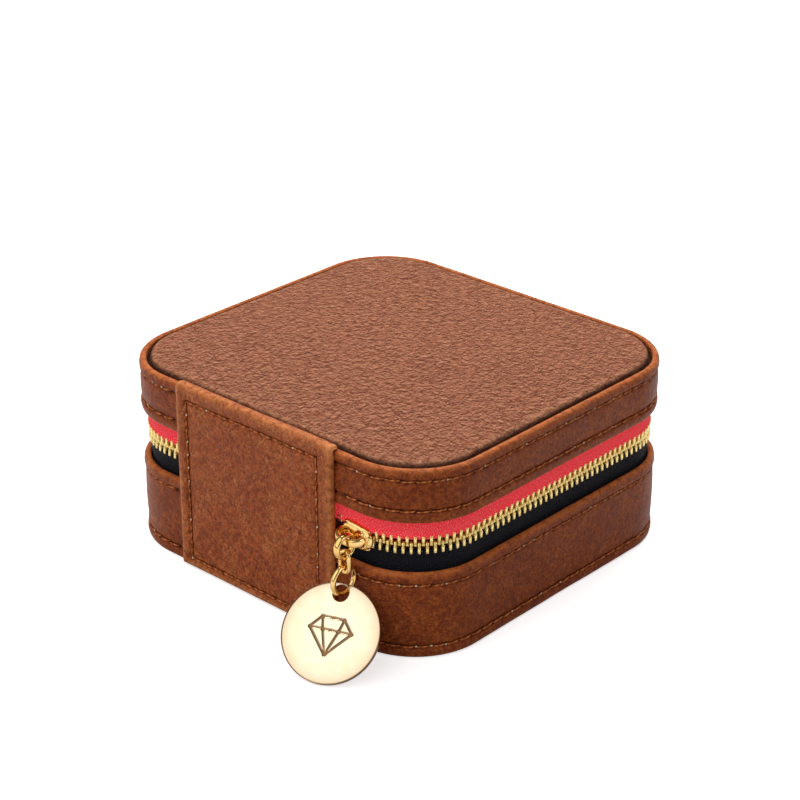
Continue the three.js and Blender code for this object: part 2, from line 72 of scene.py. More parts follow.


# %% [markdown]
# ## The camera and the studio
# The camera stands a little above the case and looks at the corner beside the hinge panel. It is
# set first. The floor is one large pale disc. Light comes from big soft boxes, because polished metal
# and waxed leather both show what they mirror: the box over the top gives the lid its broad pale
# sheen, and the one on the left lights the hinge panel more than the long side.

# %% Camera
camera_data = bpy.data.cameras.new("camera")
camera_data.lens = 98.35
camera_data.sensor_width = 36
camera = bpy.data.objects.new("camera", camera_data)
camera.location = (-0.3202, 0.3488, 0.2615)
aim = Vector((-0.00009, -0.00008, 0.03406))
camera.rotation_euler = (aim - camera.location).to_track_quat("-Z", "Y").to_euler()
bpy.context.scene.collection.objects.link(camera)
bpy.context.scene.camera = camera
print("camera to the middle of the case:", round((aim - camera.location).length, 3), "m")


# %% Colours and nodes
def colour(text):
    """A hex sRGB colour as linear RGBA: the sRGB curve undone for each channel."""
    parts = [int(text[i : i + 2], 16) / 255 for i in (1, 3, 5)]
    return [c / 12.92 if c <= 0.04045 else ((c + 0.055) / 1.055) ** 2.4 for c in parts] + [1]


def add(tree, kind, inputs=None, **settings):
    """Adds one shader node. An input that is given a socket is linked, and any other is set."""
    made = tree.nodes.new("ShaderNode" + kind)
    for name, value in settings.items():
        setattr(made, name, value)
    for name, value in (inputs or {}).items():
        if isinstance(value, bpy.types.NodeSocket):
            tree.links.new(value, made.inputs[name])
        else:
            made.inputs[name].default_value = value
    return made


def new_material(name):
    """An empty node material, its tree and its output."""
    made = bpy.data.materials.new(name)
    made.use_nodes = True
    made.node_tree.nodes.clear()
    return made, made.node_tree, made.node_tree.nodes.new("ShaderNodeOutputMaterial")


def per(size):
    """Texture scale, in features per metre, for a pattern whose features are `size` mm wide."""
    return 1 / (size * MM)


# %% Studio floor and lights
def studio_paper():
    """White background paper: matt, so it takes only a soft shadow. It throws less light back onto
    the case than it shows, as a small sheet of paper in a dark room does. From half a metre out it
    gives off more light of its own, until at one and a half it is as white as the backdrop."""
    made, tree, output = new_material("studio_paper")
    speck = add(tree, "TexNoise", {"Scale": per(40), "Detail": 2})
    paper = add(tree, "Mix", {0: speck.outputs["Fac"], 6: colour("#fbfbfb"), 7: colour("#ffffff")},
                data_type="RGBA")
    bounce = add(tree, "LightPath").outputs["Is Diffuse Ray"]
    tone = add(tree, "Mix", {0: bounce, 6: paper.outputs[2], 7: colour("#8c8c8c")}, data_type="RGBA")
    place_on = add(tree, "TexCoord").outputs["Object"]
    away = add(tree, "VectorMath", {0: place_on}, operation="LENGTH").outputs["Value"]
    lit = add(tree, "MapRange", {0: away, 1: 0.5, 2: 1.5, 3: 0.62, 4: 1}).outputs[0]
    seen = add(tree, "LightPath").outputs["Is Camera Ray"]
    glow = add(tree, "Math", {0: seen, 1: lit}, operation="MULTIPLY").outputs[0]
    shader = add(tree, "BsdfPrincipled", {"Base Color": tone.outputs[2], "Roughness": 0.95,
                                          "Emission Color": colour("#ffffff"),
                                          "Emission Strength": glow})
    tree.links.new(shader.outputs[0], output.inputs[0])
    return made


def studio_floor(radius=4, sides=96):
    """A flat disc: one ring of points round the middle, closed by one face."""
    angle = np.linspace(0, 2 * math.pi, sides, endpoint=False)
    points = np.stack([radius * np.cos(angle), radius * np.sin(angle), 0 * angle], 1)
    mesh = bpy.data.meshes.new("studio_floor")
    mesh.from_pydata(points.tolist(), [], [list(range(sides))])
    mesh.materials.append(studio_paper())
    made = bpy.data.objects.new("studio_floor", mesh)
    bpy.context.scene.collection.objects.link(made)


def soft_box(name, place, width, height, power, target=(0, 0, 0.03)):
    """A rectangular area light that faces the case."""
    data = bpy.data.lights.new(name, "AREA")
    data.shape, data.size, data.size_y, data.energy = "RECTANGLE", width, height, power
    made = bpy.data.objects.new(name, data)
    made.location = place
    made.rotation_euler = (Vector(target) - Vector(place)).to_track_quat("-Z", "Y").to_euler()
    bpy.context.scene.collection.objects.link(made)


def studio_room():
    """A white backdrop beyond the floor that gives off only a little light of its own."""
    room = bpy.data.worlds.new("studio_room")
    bpy.context.scene.world = room
    room.use_nodes = True
    tree = room.node_tree
    tree.nodes.clear()
    seen = add(tree, "LightPath").outputs["Is Camera Ray"]
    power = add(tree, "MapRange", {0: seen, 3: 0.2, 4: 1.0}).outputs[0]
    glow = add(tree, "Background", {"Color": colour("#ffffff"), "Strength": power})
    add(tree, "OutputWorld", {"Surface": glow.outputs[0]})


studio_floor()
studio_room()
soft_box("box_over_top", (0.35, -0.45, 0.9), 0.9, 0.7, 12)
soft_box("box_on_left", (0.3, 1.1, 0.98), 2.3, 1.9, 16)
soft_box("box_on_right", (-1.0, -0.15, 0.5), 0.4, 0.6, 1.6)
bpy.context.scene.view_settings.view_transform = "Standard"
print("soft boxes:", list(bpy.data.lights.keys()))

# %% [markdown]
# ## Meshes from whole arrays
# Every piece is a surface worked out with numpy: a grid of points, numbered row by row, whose
# neighbours are joined by quads. Where a grid runs right round, its last row meets its first, and
# an open end is closed with one flat face. The faces of a closed body are turned outwards by the
# sign of the volume they enclose.


# %% Grids, tubes and pieces
def grid_faces(rows, columns, round_rows=False, round_columns=False):
    """Quads of a rows x columns grid of points that are numbered row by row."""
    index = np.arange(rows * columns).reshape(rows, columns)
    if round_rows:
        index = np.vstack([index, index[:1]])
    if round_columns:
        index = np.hstack([index, index[:, :1]])
    corners = [index[:-1, :-1], index[:-1, 1:], index[1:, 1:], index[1:, :-1]]
    return np.stack(corners, -1).reshape(-1, 4)


def grid_rim(rows, columns):
    """The numbers of a grid's edge points, in order round it."""
    index = np.arange(rows * columns).reshape(rows, columns)
    return np.concatenate([index[:-1, 0], index[-1, :-1], index[:0:-1, -1], index[0, :0:-1]])


def tube_faces(rows, columns, count=1):
    """Quads round a tube, whose rings are the rows of a grid, and a face on both its ends. For
    `count` tubes in one mesh, each one's points follow the last one's."""
    side = grid_faces(rows, columns, round_columns=True)
    ring = np.arange(columns)
    caps = np.stack([ring[::-1], (rows - 1) * columns + ring])
    shift = (np.arange(count) * rows * columns)[:, None, None]
    return [(side[None] + shift).reshape(-1, 4), (caps[None] + shift).reshape(-1, columns)]


def enclosed(points, faces):
    """Six times the volume inside closed faces: each fan triangle's triple product, summed."""
    total = 0.0
    for polygons in faces:
        for k in range(1, polygons.shape[1] - 1):
            a, b, c = (points[polygons[:, i]] for i in (0, k, k + 1))
            total += np.einsum("ij,ij->", a, np.cross(b, c))
    return total


def make_piece(name, points, faces, finish, flat=False):
    """A mesh object from points in mm and a list of face arrays, smooth shaded, facing outwards."""
    points = np.asarray(points, float).reshape(-1, 3)
    if enclosed(points - points.mean(0), faces) < 0:
        faces = [polygons[:, ::-1] for polygons in faces]
    corners = np.concatenate([polygons.ravel() for polygons in faces])
    sizes = np.concatenate([np.full(len(polygons), polygons.shape[1]) for polygons in faces])
    mesh = bpy.data.meshes.new(name)
    mesh.vertices.add(len(points))
    mesh.vertices.foreach_set("co", (points * MM).ravel())
    mesh.loops.add(len(corners))
    mesh.loops.foreach_set("vertex_index", corners.astype(np.int32))
    mesh.polygons.add(len(sizes))
    mesh.polygons.foreach_set("loop_start", (np.cumsum(sizes) - sizes).astype(np.int32))
    mesh.update(calc_edges=True)
    mesh.polygons.foreach_set("use_smooth", np.full(len(sizes), not flat))
    mesh.materials.append(finish)
    made = bpy.data.objects.new(name, mesh)
    bpy.context.scene.collection.objects.link(made)
    print(f"{name}: {len(points)} points, {len(sizes)} faces")
    return made


def mark(piece, name, values):
    """Stores one number for each point of a piece, which its material can read by name."""
    held = piece.data.attributes.new(name, "FLOAT", "POINT")
    held.data.foreach_set("value", np.asarray(values, np.float32).ravel())


def lay_out(piece, along, across):
    """A UV map in millimetres: each corner of a face takes its point's two distances."""
    spread = np.stack([np.ravel(along), np.ravel(across)], 1)
    corners = np.zeros(len(piece.data.loops), np.int32)
    piece.data.loops.foreach_get("vertex_index", corners)
    held = piece.data.uv_layers.new(name="UVMap")
    held.data.foreach_set("uv", spread[corners].astype(np.float32).ravel())


def place(piece, body, slot, *nodes):
    """The piece moves with a CAD body and stands for CAD nodes, which are hidden; `slot` is not used."""
    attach(piece, body)
    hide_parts(*nodes)


# %% [markdown]
# ## The path round the case
# Seen from above the case is a rounded rectangle. A circle of the corner's radius that rolls round
# inside the outline gives every layer at once: its centre moves along the straight sides and waits
# in the corners, where its pointer turns. A layer set in by some millimetres is the same circle
# made smaller.

# %% Path
wall_low, wall_high = box_of("base_side_band")
half_x, half_y = wall_high[0], wall_high[1]
corner = 18.4
reach_x, reach_y = half_x - corner, half_y - corner
quarter = math.pi / 2 * corner
girth = 4 * (reach_x + reach_y + quarter)


def rolling(along):
    """Centre and pointing direction of the rolling circle, `along` mm from the middle of the back,
    towards -X first."""
    legs = [0, reach_x, quarter, 2 * reach_y, quarter, 2 * reach_x, quarter, 2 * reach_y, quarter, reach_x]
    stops = np.cumsum(legs)
    along = np.mod(along, girth)
    turn = np.interp(along, stops, np.radians([90, 90, 180, 180, 270, 270, 360, 360, 450, 450]))
    x = np.interp(along, stops, reach_x * np.array([0, -1, -1, -1, -1, 1, 1, 1, 1, 0]))
    y = np.interp(along, stops, reach_y * np.array([1, 1, 1, -1, -1, -1, -1, 1, 1, 1]))
    return np.stack([x, y], -1), np.stack([np.cos(turn), np.sin(turn)], -1)


def on_wall(along, inset, z):
    """Points `inset` mm inside the outer wall at height z: the rolling circle's centre plus its
    shortened pointer."""
    along, inset, z = np.broadcast_arrays(along, inset, z)
    centre, pointer = rolling(along)
    flat = centre + pointer * (corner - inset)[..., None]
    return np.concatenate([flat, z[..., None]], -1)


def rough(x, y, size, seed, repeat=64):
    """Soft random height from -1 to 1: random numbers at the corners of squares `size` mm wide,
    eased into each other with t*t*(3-2t). It repeats after `repeat` squares along x."""
    table = np.random.default_rng(seed).uniform(-1, 1, (repeat, 64))
    u, v = x / size, y / size
    i, j = np.floor(u).astype(int), np.floor(v).astype(int)
    s, t = u - i, v - j
    s, t = s * s * (3 - 2 * s), t * t * (3 - 2 * t)
    lower = table[i % repeat, j % 64] * (1 - s) + table[(i + 1) % repeat, j % 64] * s
    upper = table[i % repeat, (j + 1) % 64] * (1 - s) + table[(i + 1) % repeat, (j + 1) % 64] * s
    return lower * (1 - t) + upper * t


def bell(distance, width):
    """1 at no distance, falling away like a bell over `width` mm."""
    return np.exp(-((distance / width) ** 2))


def squared(wave, power):
    """A sine or cosine with its sign kept and its size raised to a power. Under 1 it squares the
    round shape that is drawn with it."""
    return np.sign(wave) * np.abs(wave) ** power


print("round the case:", round(girth, 1), "mm")

# %% [markdown]
# ## Leather
# The walls are full-grain cowhide, drum-dyed brown and waxed. The dye takes unevenly, so the colour
# drifts over centimetres and is freckled over millimetres, and light scratches show the paler hide
# under the finish. Where the leather is turned over a rim it is stretched and rubbed, and it is
# paler and redder there. Painted shade darkens the stitch lines, their needle holes and the groove
# round the top. Each mesh stores those two as numbers on its points, `worn` and the painted
# shade, because they follow the shape.


# %% Leather materials
def thin_lines(tree, noise, reach, strength):
    """Strength along the lines where a noise crosses one half, fading to nothing within `reach`."""
    off = add(tree, "Math", {0: noise, 1: 0.5}, operation="SUBTRACT").outputs[0]
    off = add(tree, "Math", {0: off}, operation="ABSOLUTE").outputs[0]
    return add(tree, "MapRange", {0: off, 1: 0, 2: reach, 3: strength, 4: 0},
               interpolation_type="SMOOTHSTEP").outputs[0]


def line_layers(tree, spot, layers, **settings):
    """The lines of several noises over one another. A layer has a size in mm, a reach and a
    strength, and the strongest line at a point is the one that counts."""
    strongest = None
    for size, reach, strength in layers:
        noise = add(tree, "TexNoise", {"Vector": spot, "Scale": per(size), **settings}).outputs["Fac"]
        lines = thin_lines(tree, noise, reach, strength)
        if strongest is not None:
            lines = add(tree, "Math", {0: strongest, 1: lines}, operation="MAXIMUM").outputs[0]
        strongest = lines
    return strongest


def painted_emboss_shade(tree, place_on):
    """Pebbles of grain as two outputs: their height, and its rise over half a millimetre along one
    direction, above 0 on one side of every pebble and below 0 on the other, for painted light and shade."""
    pebbles = []
    for emboss_step in (0, 0.5 * MM):
        moved = add(tree, "VectorMath", {0: place_on, 1: (0, emboss_step, 0)}, operation="ADD").outputs[0]
        pebbles.append(add(tree, "TexNoise", {"Vector": moved, "Scale": per(1.3), "Detail": 2,
                                              "Roughness": 0.65, "Distortion": 1.0}).outputs["Fac"])
    rise = add(tree, "Math", {0: pebbles[1], 1: pebbles[0]}, operation="SUBTRACT").outputs[0]
    return pebbles[0], rise


def waxed_leather(name, deep, middle, pale, rubbed, mottle, fibres, wrinkles, relief, depth):
    """Waxed full-grain leather. Two browns drift into each other and pale blotches lie over them.
    Fine scratches show paler fibres, the dye gathers in the wrinkles, which painted shade darkens
    too, and rims take the rubbed colour. Every pebble of the grain has painted light on one side
    and painted shade on the other. Four shares from 0 to 1 say how strong each is; `depth` is in mm."""
    made, tree, output = new_material(name)
    place_on = add(tree, "TexCoord").outputs["Object"]
    drift = add(tree, "TexNoise", {"Vector": place_on, "Scale": per(9), "Detail": 5, "Roughness": 0.65})
    share = add(tree, "MapRange", {0: drift.outputs["Fac"], 1: 0.36, 2: 0.64}).outputs[0]
    body = add(tree, "Mix", {0: share, 6: colour(deep), 7: colour(middle)}, data_type="RGBA").outputs[2]
    turned = add(tree, "Mapping", {"Vector": place_on, "Rotation": (0, 0, -0.74)}).outputs[0]
    grain = add(tree, "Mapping", {"Vector": turned, "Scale": (1, 1.25, 1.1)}).outputs[0]
    blotch = add(tree, "TexNoise", {"Vector": grain, "Scale": per(1.7), "Detail": 4,
                                    "Roughness": 0.62, "Distortion": 0.4}).outputs["Fac"]
    spots = add(tree, "MapRange", {0: blotch, 1: 0.42, 2: 0.72, 3: 0, 4: mottle}).outputs[0]
    body = add(tree, "Mix", {0: spots, 6: body, 7: colour(pale)}, data_type="RGBA").outputs[2]
    strand = line_layers(tree, place_on, ((3.4, 0.03, fibres), (1.7, 0.045, fibres)),
                         Detail=4, Roughness=0.5, Distortion=1.9)
    patch = add(tree, "MapRange", {0: drift.outputs["Fac"], 1: 0.4, 2: 0.6, 3: 0.25, 4: 1}).outputs[0]
    strand = add(tree, "Math", {0: strand, 1: patch}, operation="MULTIPLY").outputs[0]
    body = add(tree, "Mix", {0: strand, 6: body, 7: colour(rubbed)}, data_type="RGBA").outputs[2]
    valley = line_layers(tree, grain, ((7.5, 0.012, 0.8), (3.4, 0.03, 0.7), (1.5, 0.06, 0.8)),
                         Detail=3, Roughness=0.55, Distortion=0.7)
    sunk = add(tree, "MapRange", {0: blotch, 1: 0.6, 2: 0.36, 3: 0.1, 4: 1}).outputs[0]
    valley = add(tree, "Math", {0: valley, 1: sunk}, operation="MULTIPLY").outputs[0]
    # The wrinkles are darkened: dye gathers there, and painted shade darkens them further.
    crease_dye_and_shade = add(tree, "Math", {0: valley, 1: wrinkles}, operation="MULTIPLY").outputs[0]
    body = add(tree, "Mix", {0: crease_dye_and_shade, 6: body, 7: colour("#5a220b")}, data_type="RGBA").outputs[2]
    # Painted light and shade: one side of each grain pebble is painted paler and the other darker brown;
    # `relief` sets how strongly.
    pebble, side = painted_emboss_shade(tree, turned)
    for low, high, tone in ((0.02, 0.15, pale), (-0.02, -0.15, "#5e2710")):
        wear_and_painted_light = add(tree, "MapRange", {0: side, 1: low, 2: high, 3: 0, 4: relief}).outputs[0]
        body = add(tree, "Mix", {0: wear_and_painted_light, 6: body, 7: colour(tone)}, data_type="RGBA").outputs[2]
    pores = add(tree, "TexNoise", {"Vector": grain, "Scale": per(0.8), "Detail": 3}).outputs["Fac"]
    dark = add(tree, "MapRange", {0: pores, 1: 0.52, 2: 0.34, 3: 0, 4: 0.5 * fibres}).outputs[0]
    body = add(tree, "Mix", {0: dark, 6: body, 7: colour("#4a1c0a")}, data_type="RGBA").outputs[2]
    worn = add(tree, "Attribute", attribute_name="worn").outputs["Fac"]
    patchy = add(tree, "MapRange", {0: blotch, 1: 0.35, 2: 0.6, 3: 0.3, 4: 1}).outputs[0]
    worn = add(tree, "Math", {0: worn, 1: patchy}, operation="MULTIPLY").outputs[0]
    body = add(tree, "Mix", {0: worn, 6: body, 7: colour(rubbed)}, data_type="RGBA").outputs[2]
    # Painted shade: the share stored on the points darkens the leather to near-black.
    painted_shade = add(tree, "Attribute", attribute_name="painted_shade").outputs["Fac"]
    body = add(tree, "Mix", {0: painted_shade, 6: body, 7: colour("#1c0903")}, data_type="RGBA").outputs[2]
    height = blotch
    for layer, lift in ((pores, 0.45), (pebble, relief), (strand, 0.3), (valley, -0.5 * wrinkles)):
        height = add(tree, "Math", {0: layer, 1: lift, 2: height}, operation="MULTIPLY_ADD").outputs[0]
    bump = add(tree, "Bump", {"Height": height, "Strength": 1.0, "Distance": depth * MM}).outputs[0]
    dull = add(tree, "MapRange", {0: blotch, 1: 0.3, 2: 0.7, 3: 0.38, 4: 0.5}).outputs[0]
    shader = add(tree, "BsdfPrincipled", {"Base Color": body, "Roughness": dull, "Normal": bump,
                                          "Specular IOR Level": 0.15})
    tree.links.new(shader.outputs[0], output.inputs[0])
    return made


# The hinge panel and the padded top take paler browns than the walls: painted light, standing for the
# stronger light from the soft boxes on the left and over the top.
wall_leather = waxed_leather("wall_leather", "#782c0f", "#963e19", "#b45a22", "#da7a3e", mottle=0.9,
                             fibres=0.85, wrinkles=0.45, relief=0.25, depth=0.3)
panel_leather = waxed_leather("panel_leather", "#903716", "#b65020", "#d06a34", "#ec9658", mottle=0.9,
                              fibres=1.0, wrinkles=0.45, relief=0.25, depth=0.3)
top_leather = waxed_leather("top_leather", "#a0583a", "#ac6344", "#c88e6c", "#c98a64", mottle=0.35,
                            fibres=0.1, wrinkles=0.7, relief=0.75, depth=0.9)
print("leathers:", wall_leather.name, panel_leather.name, top_leather.name)

# %% [markdown]
# ## The walls
# A strip of leather is wrapped round the board of the base and another round the lid. Both edges
# are turned in and stitched down, four rows in all. The leather swells between the rows, lifts at
# the rims, and is drawn in at each row, most of all at the needle holes. So the wall is a closed
# profile, a strip with round ends, carried round the path, and its outer face is moved in and out
# by a height worked out for every point.

# %% Stitch rows and wall shape
panel_low, panel_high = box_of("hinge_panel_lower")
panel_half = panel_high[0]
stitch_count = 103
stitch = girth / stitch_count
skin = 1.35
rim_round = 0.66


def from_hole(along, pitch, shift=0.0):
    """Distance along the row to the nearest needle hole."""
    return np.abs(np.mod(along - shift + pitch / 2, pitch) - pitch / 2)


def drawn_in(near, off):
    """How far a row of stitches draws the leather in, `off` mm beside the row and `near` mm from a
    needle hole: a trough that is deeper near each hole, and a narrow pit at the hole."""
    return (0.2 + 0.14 * bell(near, 1.0)) * bell(off, 0.5) + 0.3 * bell(near, 0.42) * bell(off, 0.42)


def seam_shade(near, off):
    """Painted shade along a row of stitches, deepest at its needle holes."""
    return bell(off, 0.4) * (0.35 + 0.65 * bell(near, 0.6))


def wall_swell(along, z, low, high, rows, seed):
    """How far the wall stands out, in mm: a hump between the rows, a lip at each rim, the rows drawn
    in, and a slow hand-made waviness. Under the hinge panel it lies flat."""
    lower, upper = rows
    share = np.clip((z - lower) / (upper - lower), 0, 1)
    swell = 0.3 * np.sin(math.pi * share) ** 0.6
    for edge, row in ((low, lower), (high, upper)):
        lip = np.clip((z - row) / (edge - row), 0, 1)
        swell = swell + 0.42 * np.sin(math.pi * lip ** 0.75) ** 0.8
    for row in rows:
        swell = swell - drawn_in(from_hole(along, stitch), z - row)
    waves = rough(along, z, girth / 20, seed, 20) + 0.5 * rough(along, z, girth / 64, seed + 1, 64)
    from_back = np.minimum(along, girth - along)
    free = np.clip((from_back - panel_half + 1.6) / 1.2, 0, 1)
    return (swell + 0.09 * waves) * free


def leather_wall(name, low, high, rows, seed, stations=960):
    """A strip with round rims, (inset, z) round its cut end, carried round the case. The swell moves
    the outer face and fades out round the rims."""
    turn = np.radians(np.linspace(0, 180, 11))
    close = [row + np.linspace(-1.3, 1.3, 15) for row in rows]
    foot, top = low + rim_round, high - rim_round
    heights = np.unique(np.round(np.concatenate([np.linspace(foot, top, 30), *close]), 3))
    heights = heights[(heights >= foot) & (heights <= top)]
    rim_inset = skin / 2 - skin / 2 * np.cos(turn)
    rim_up = rim_round * np.sin(turn)
    inner_z = np.linspace(top, foot, 5)[1:-1]
    inset = np.concatenate([0 * heights, rim_inset[1:], 0 * inner_z + skin, rim_inset[::-1][:-1]])
    z = np.concatenate([heights, top + rim_up[1:], inner_z, (foot - rim_up)[::-1][:-1]])
    facing = np.clip(1 - inset / skin * 1.6, 0, 1)
    along = np.linspace(0, girth, stations, endpoint=False)[:, None]
    swell = wall_swell(along, z[None], low, high, rows, seed)
    points = on_wall(along, inset[None] - swell * facing[None], z[None])
    piece = make_piece(name, points, [grid_faces(stations, len(z), True, True)], wall_leather)
    rim = np.maximum(bell(z - high, 0.9), bell(z - low, 0.7))
    mark(piece, "worn", np.broadcast_to(0.75 * rim, swell.shape))
    # Painted shade along the stitch rows, deepest at the needle holes.
    near = from_hole(along, stitch)
    seam = sum(seam_shade(near, z[None] - row) for row in rows)
    mark(piece, "painted_shade", np.clip(seam, 0, 1) * (facing[None] > 0))
    return piece


base_rows = (2.9, 18.45)
lid_rows = (36.8, 44.1)
lid_low, lid_high = box_of("lid_side_band")
base_wall = leather_wall("base_leather_wall", wall_low[2], wall_high[2], base_rows, 11)
place(base_wall, "base", "brown_leather", "base_side_band")
lid_wall = leather_wall("lid_leather_wall", lid_low[2], lid_high[2], lid_rows, 21)
place(lid_wall, "lid", "brown_leather", "lid_side_band")

# %% [markdown]
# ## Thread
# The rows are sewn on a machine with waxed tan thread, about seven stitches to an inch. Each stitch
# comes out of one hole, rises over the leather and goes down the next. At some holes the paler
# under thread has been pulled up and shows as a dot. A stitch is a tube with six sides that is
# bent down at both ends; there are hundreds, so each has only a few dozen faces.

# %% Thread material and stitches
tube_steps, tube_sides = 7, 6
thread_thick = 0.38
dot_radius = 0.27


def sewing_thread(name, light, dark):
    """Bonded polyester thread: twisted plies, so stripes run round it every half millimetre. A sine
    wave texture at scale 1 repeats after a turn, 6.28, so its scale is divided by that."""
    made, tree, output = new_material(name)
    place_on = add(tree, "TexCoord").outputs["Object"]
    ply = add(tree, "TexWave", {"Vector": place_on, "Scale": per(0.5) / 6.28, "Distortion": 3,
                                "Detail": 2}, bands_direction="DIAGONAL").outputs["Fac"]
    tone = add(tree, "Mix", {0: ply, 6: colour(dark), 7: colour(light)}, data_type="RGBA").outputs[2]
    bump = add(tree, "Bump", {"Height": ply, "Strength": 0.5, "Distance": 0.05 * MM}).outputs[0]
    shader = add(tree, "BsdfPrincipled", {"Base Color": tone, "Roughness": 0.6, "Normal": bump,
                                          "Specular IOR Level": 0.2})
    tree.links.new(shader.outputs[0], output.inputs[0])
    return made


tan_thread = sewing_thread("tan_thread", "#dc8448", "#9c4e20")
under_thread = sewing_thread("under_thread", "#fbe3c6", "#d8b48c")


def stitch_tubes(count, long, thick, rise, seed):
    """Every stitch of a row as (count, steps, sides) arrays: distance along it, height over the
    leather and distance across it. The height is an arch, rise * (1 - 2.3 t^4), so the ends dive."""
    drawn = np.random.default_rng(seed)
    t = np.linspace(-1, 1, tube_steps)[None, :, None]
    a = np.linspace(0, 2 * math.pi, tube_sides, endpoint=False)[None, None, :]
    size = thick / 2 * (1 + 0.1 * drawn.uniform(-1, 1, (count, 1, 1))) * (1 - 0.25 * t ** 4)
    lean = 0.1 + 0.06 * drawn.uniform(-1, 1, (count, 1, 1))
    length = long * (0.94 + 0.04 * drawn.uniform(-1, 1, (count, 1, 1)))
    along = length / 2 * t + 0 * a
    height = rise * (1 - 2.3 * t ** 4) + size * np.cos(a)
    across = lean * t + size * np.sin(a) + 0.05 * drawn.uniform(-1, 1, (count, 1, 1))
    return along, height, across


def dots(name, places, outward, radius, finish):
    """Small round knots: a sphere of 5 x 8 points for each place, flattened along `outward`."""
    lat = np.radians([-78, -38, 0, 38, 78])[:, None]
    lon = np.radians(np.arange(0, 360, 45))[None]
    unit = np.stack([np.cos(lat) * np.cos(lon), np.cos(lat) * np.sin(lon), np.sin(lat) + 0 * lon], -1)
    unit = unit.reshape(-1, 3)
    flatten = unit[None] - 0.5 * np.einsum("kj,nj->nk", unit, outward)[..., None] * outward[:, None]
    points = places[:, None] + radius * flatten
    return make_piece(name, points, tube_faces(5, 8, len(places)), finish)


def wall_stitches(name, body, rows, seed):
    """The rows of one wall, left out behind the hinge panel, with its pulled-up dots."""
    middles = np.arange(stitch_count) * stitch + stitch / 2
    hidden = panel_half - 0.5
    middles = middles[(middles > hidden + stitch / 2) & (middles < girth - hidden - stitch / 2)]
    tubes, holes, facing = [], [], []
    drawn = np.random.default_rng(seed)
    for k, row in enumerate(rows):
        along, height, across = stitch_tubes(len(middles), stitch, thread_thick, 0.14, seed + k)
        tubes.append(on_wall(middles[:, None, None] + along, -height - 0.02, row + across))
        picked = middles[drawn.uniform(size=len(middles)) < 0.3] - stitch / 2
        offset = drawn.uniform(-0.12, 0.12, len(picked))
        holes.append(on_wall(picked + offset, 0, row + offset))
        facing.append(np.concatenate([rolling(picked)[1], 0 * picked[:, None]], 1))
    faces = tube_faces(tube_steps, tube_sides, len(middles) * len(rows))
    piece = make_piece(name, np.concatenate(tubes), faces, tan_thread)
    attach(piece, body)
    knots = dots(name + "_dots", np.concatenate(holes), np.concatenate(facing), dot_radius, under_thread)
    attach(knots, body)


wall_stitches("base_stitches", "base", base_rows, 31)
wall_stitches("lid_stitches", "lid", lid_rows, 41)

# %% [markdown]
# ## The padded top
# The top of the lid is a separate piece of softer, creased leather over a thin foam pad. It sits
# inside the rim with a groove round it, whose foot and flange are painted dark as shade. Its height
# comes from the distance to its edge: a round shoulder over the first millimetre and a half, then a
# low crown. The grid is a square of points pulled onto scaled outlines, so that it has no pole in
# the middle, and it is fine enough for the soft creases that the skin really has.


# %% Top panel
def spread_rings(rings):
    """A square of (2n+1) x (2n+1) points as ring number and distance round, 0 to 1 of a turn. On the
    ring k = max(|i|, |j|) the distance runs over the four sides in turn."""
    n = rings
    i, j = np.meshgrid(np.arange(-n, n + 1), np.arange(-n, n + 1), indexing="ij")
    k = np.maximum(np.abs(i), np.abs(j))
    size = np.maximum(k, 1)
    turn = np.select([(i == k), (j == k), (i == -k), (j == -k)],
                     [j / size, 2 - i / size, 4 - j / size, 6 + i / size])
    return k, np.mod(turn / 8, 1)


def edge_distance(x, y, inset):
    """Distance inwards from a rounded rectangle set in by `inset`: the usual corner-circle rule."""
    qx, qy = np.abs(x) - reach_x, np.abs(y) - reach_y
    outside = np.hypot(np.maximum(qx, 0), np.maximum(qy, 0)) + np.minimum(np.maximum(qx, qy), 0)
    return (corner - inset) - outside


def creases(x, y):
    """Creases of loose-grained hide, in mm: folded noise, so that its valleys are sharp lines, at
    three sizes and slightly longer one way, strongest in slow patches."""
    bend = 1.5 * rough(x, y, 9, 3)
    u, v = 0.82 * x + 0.57 * y + bend, (-0.57 * x + 0.82 * y + bend) * 1.5
    patch = 0.55 + 0.45 * rough(x, y, 17, 4)
    fold = 0
    for size, height, seed in ((5.2, 0.05, 5), (2.6, 0.05, 6), (1.4, 0.04, 7)):
        fold = fold - height * (1 - np.abs(rough(u, v, size, seed))) ** 4
    return fold * patch + 0.05 * rough(x, y, 12, 8)


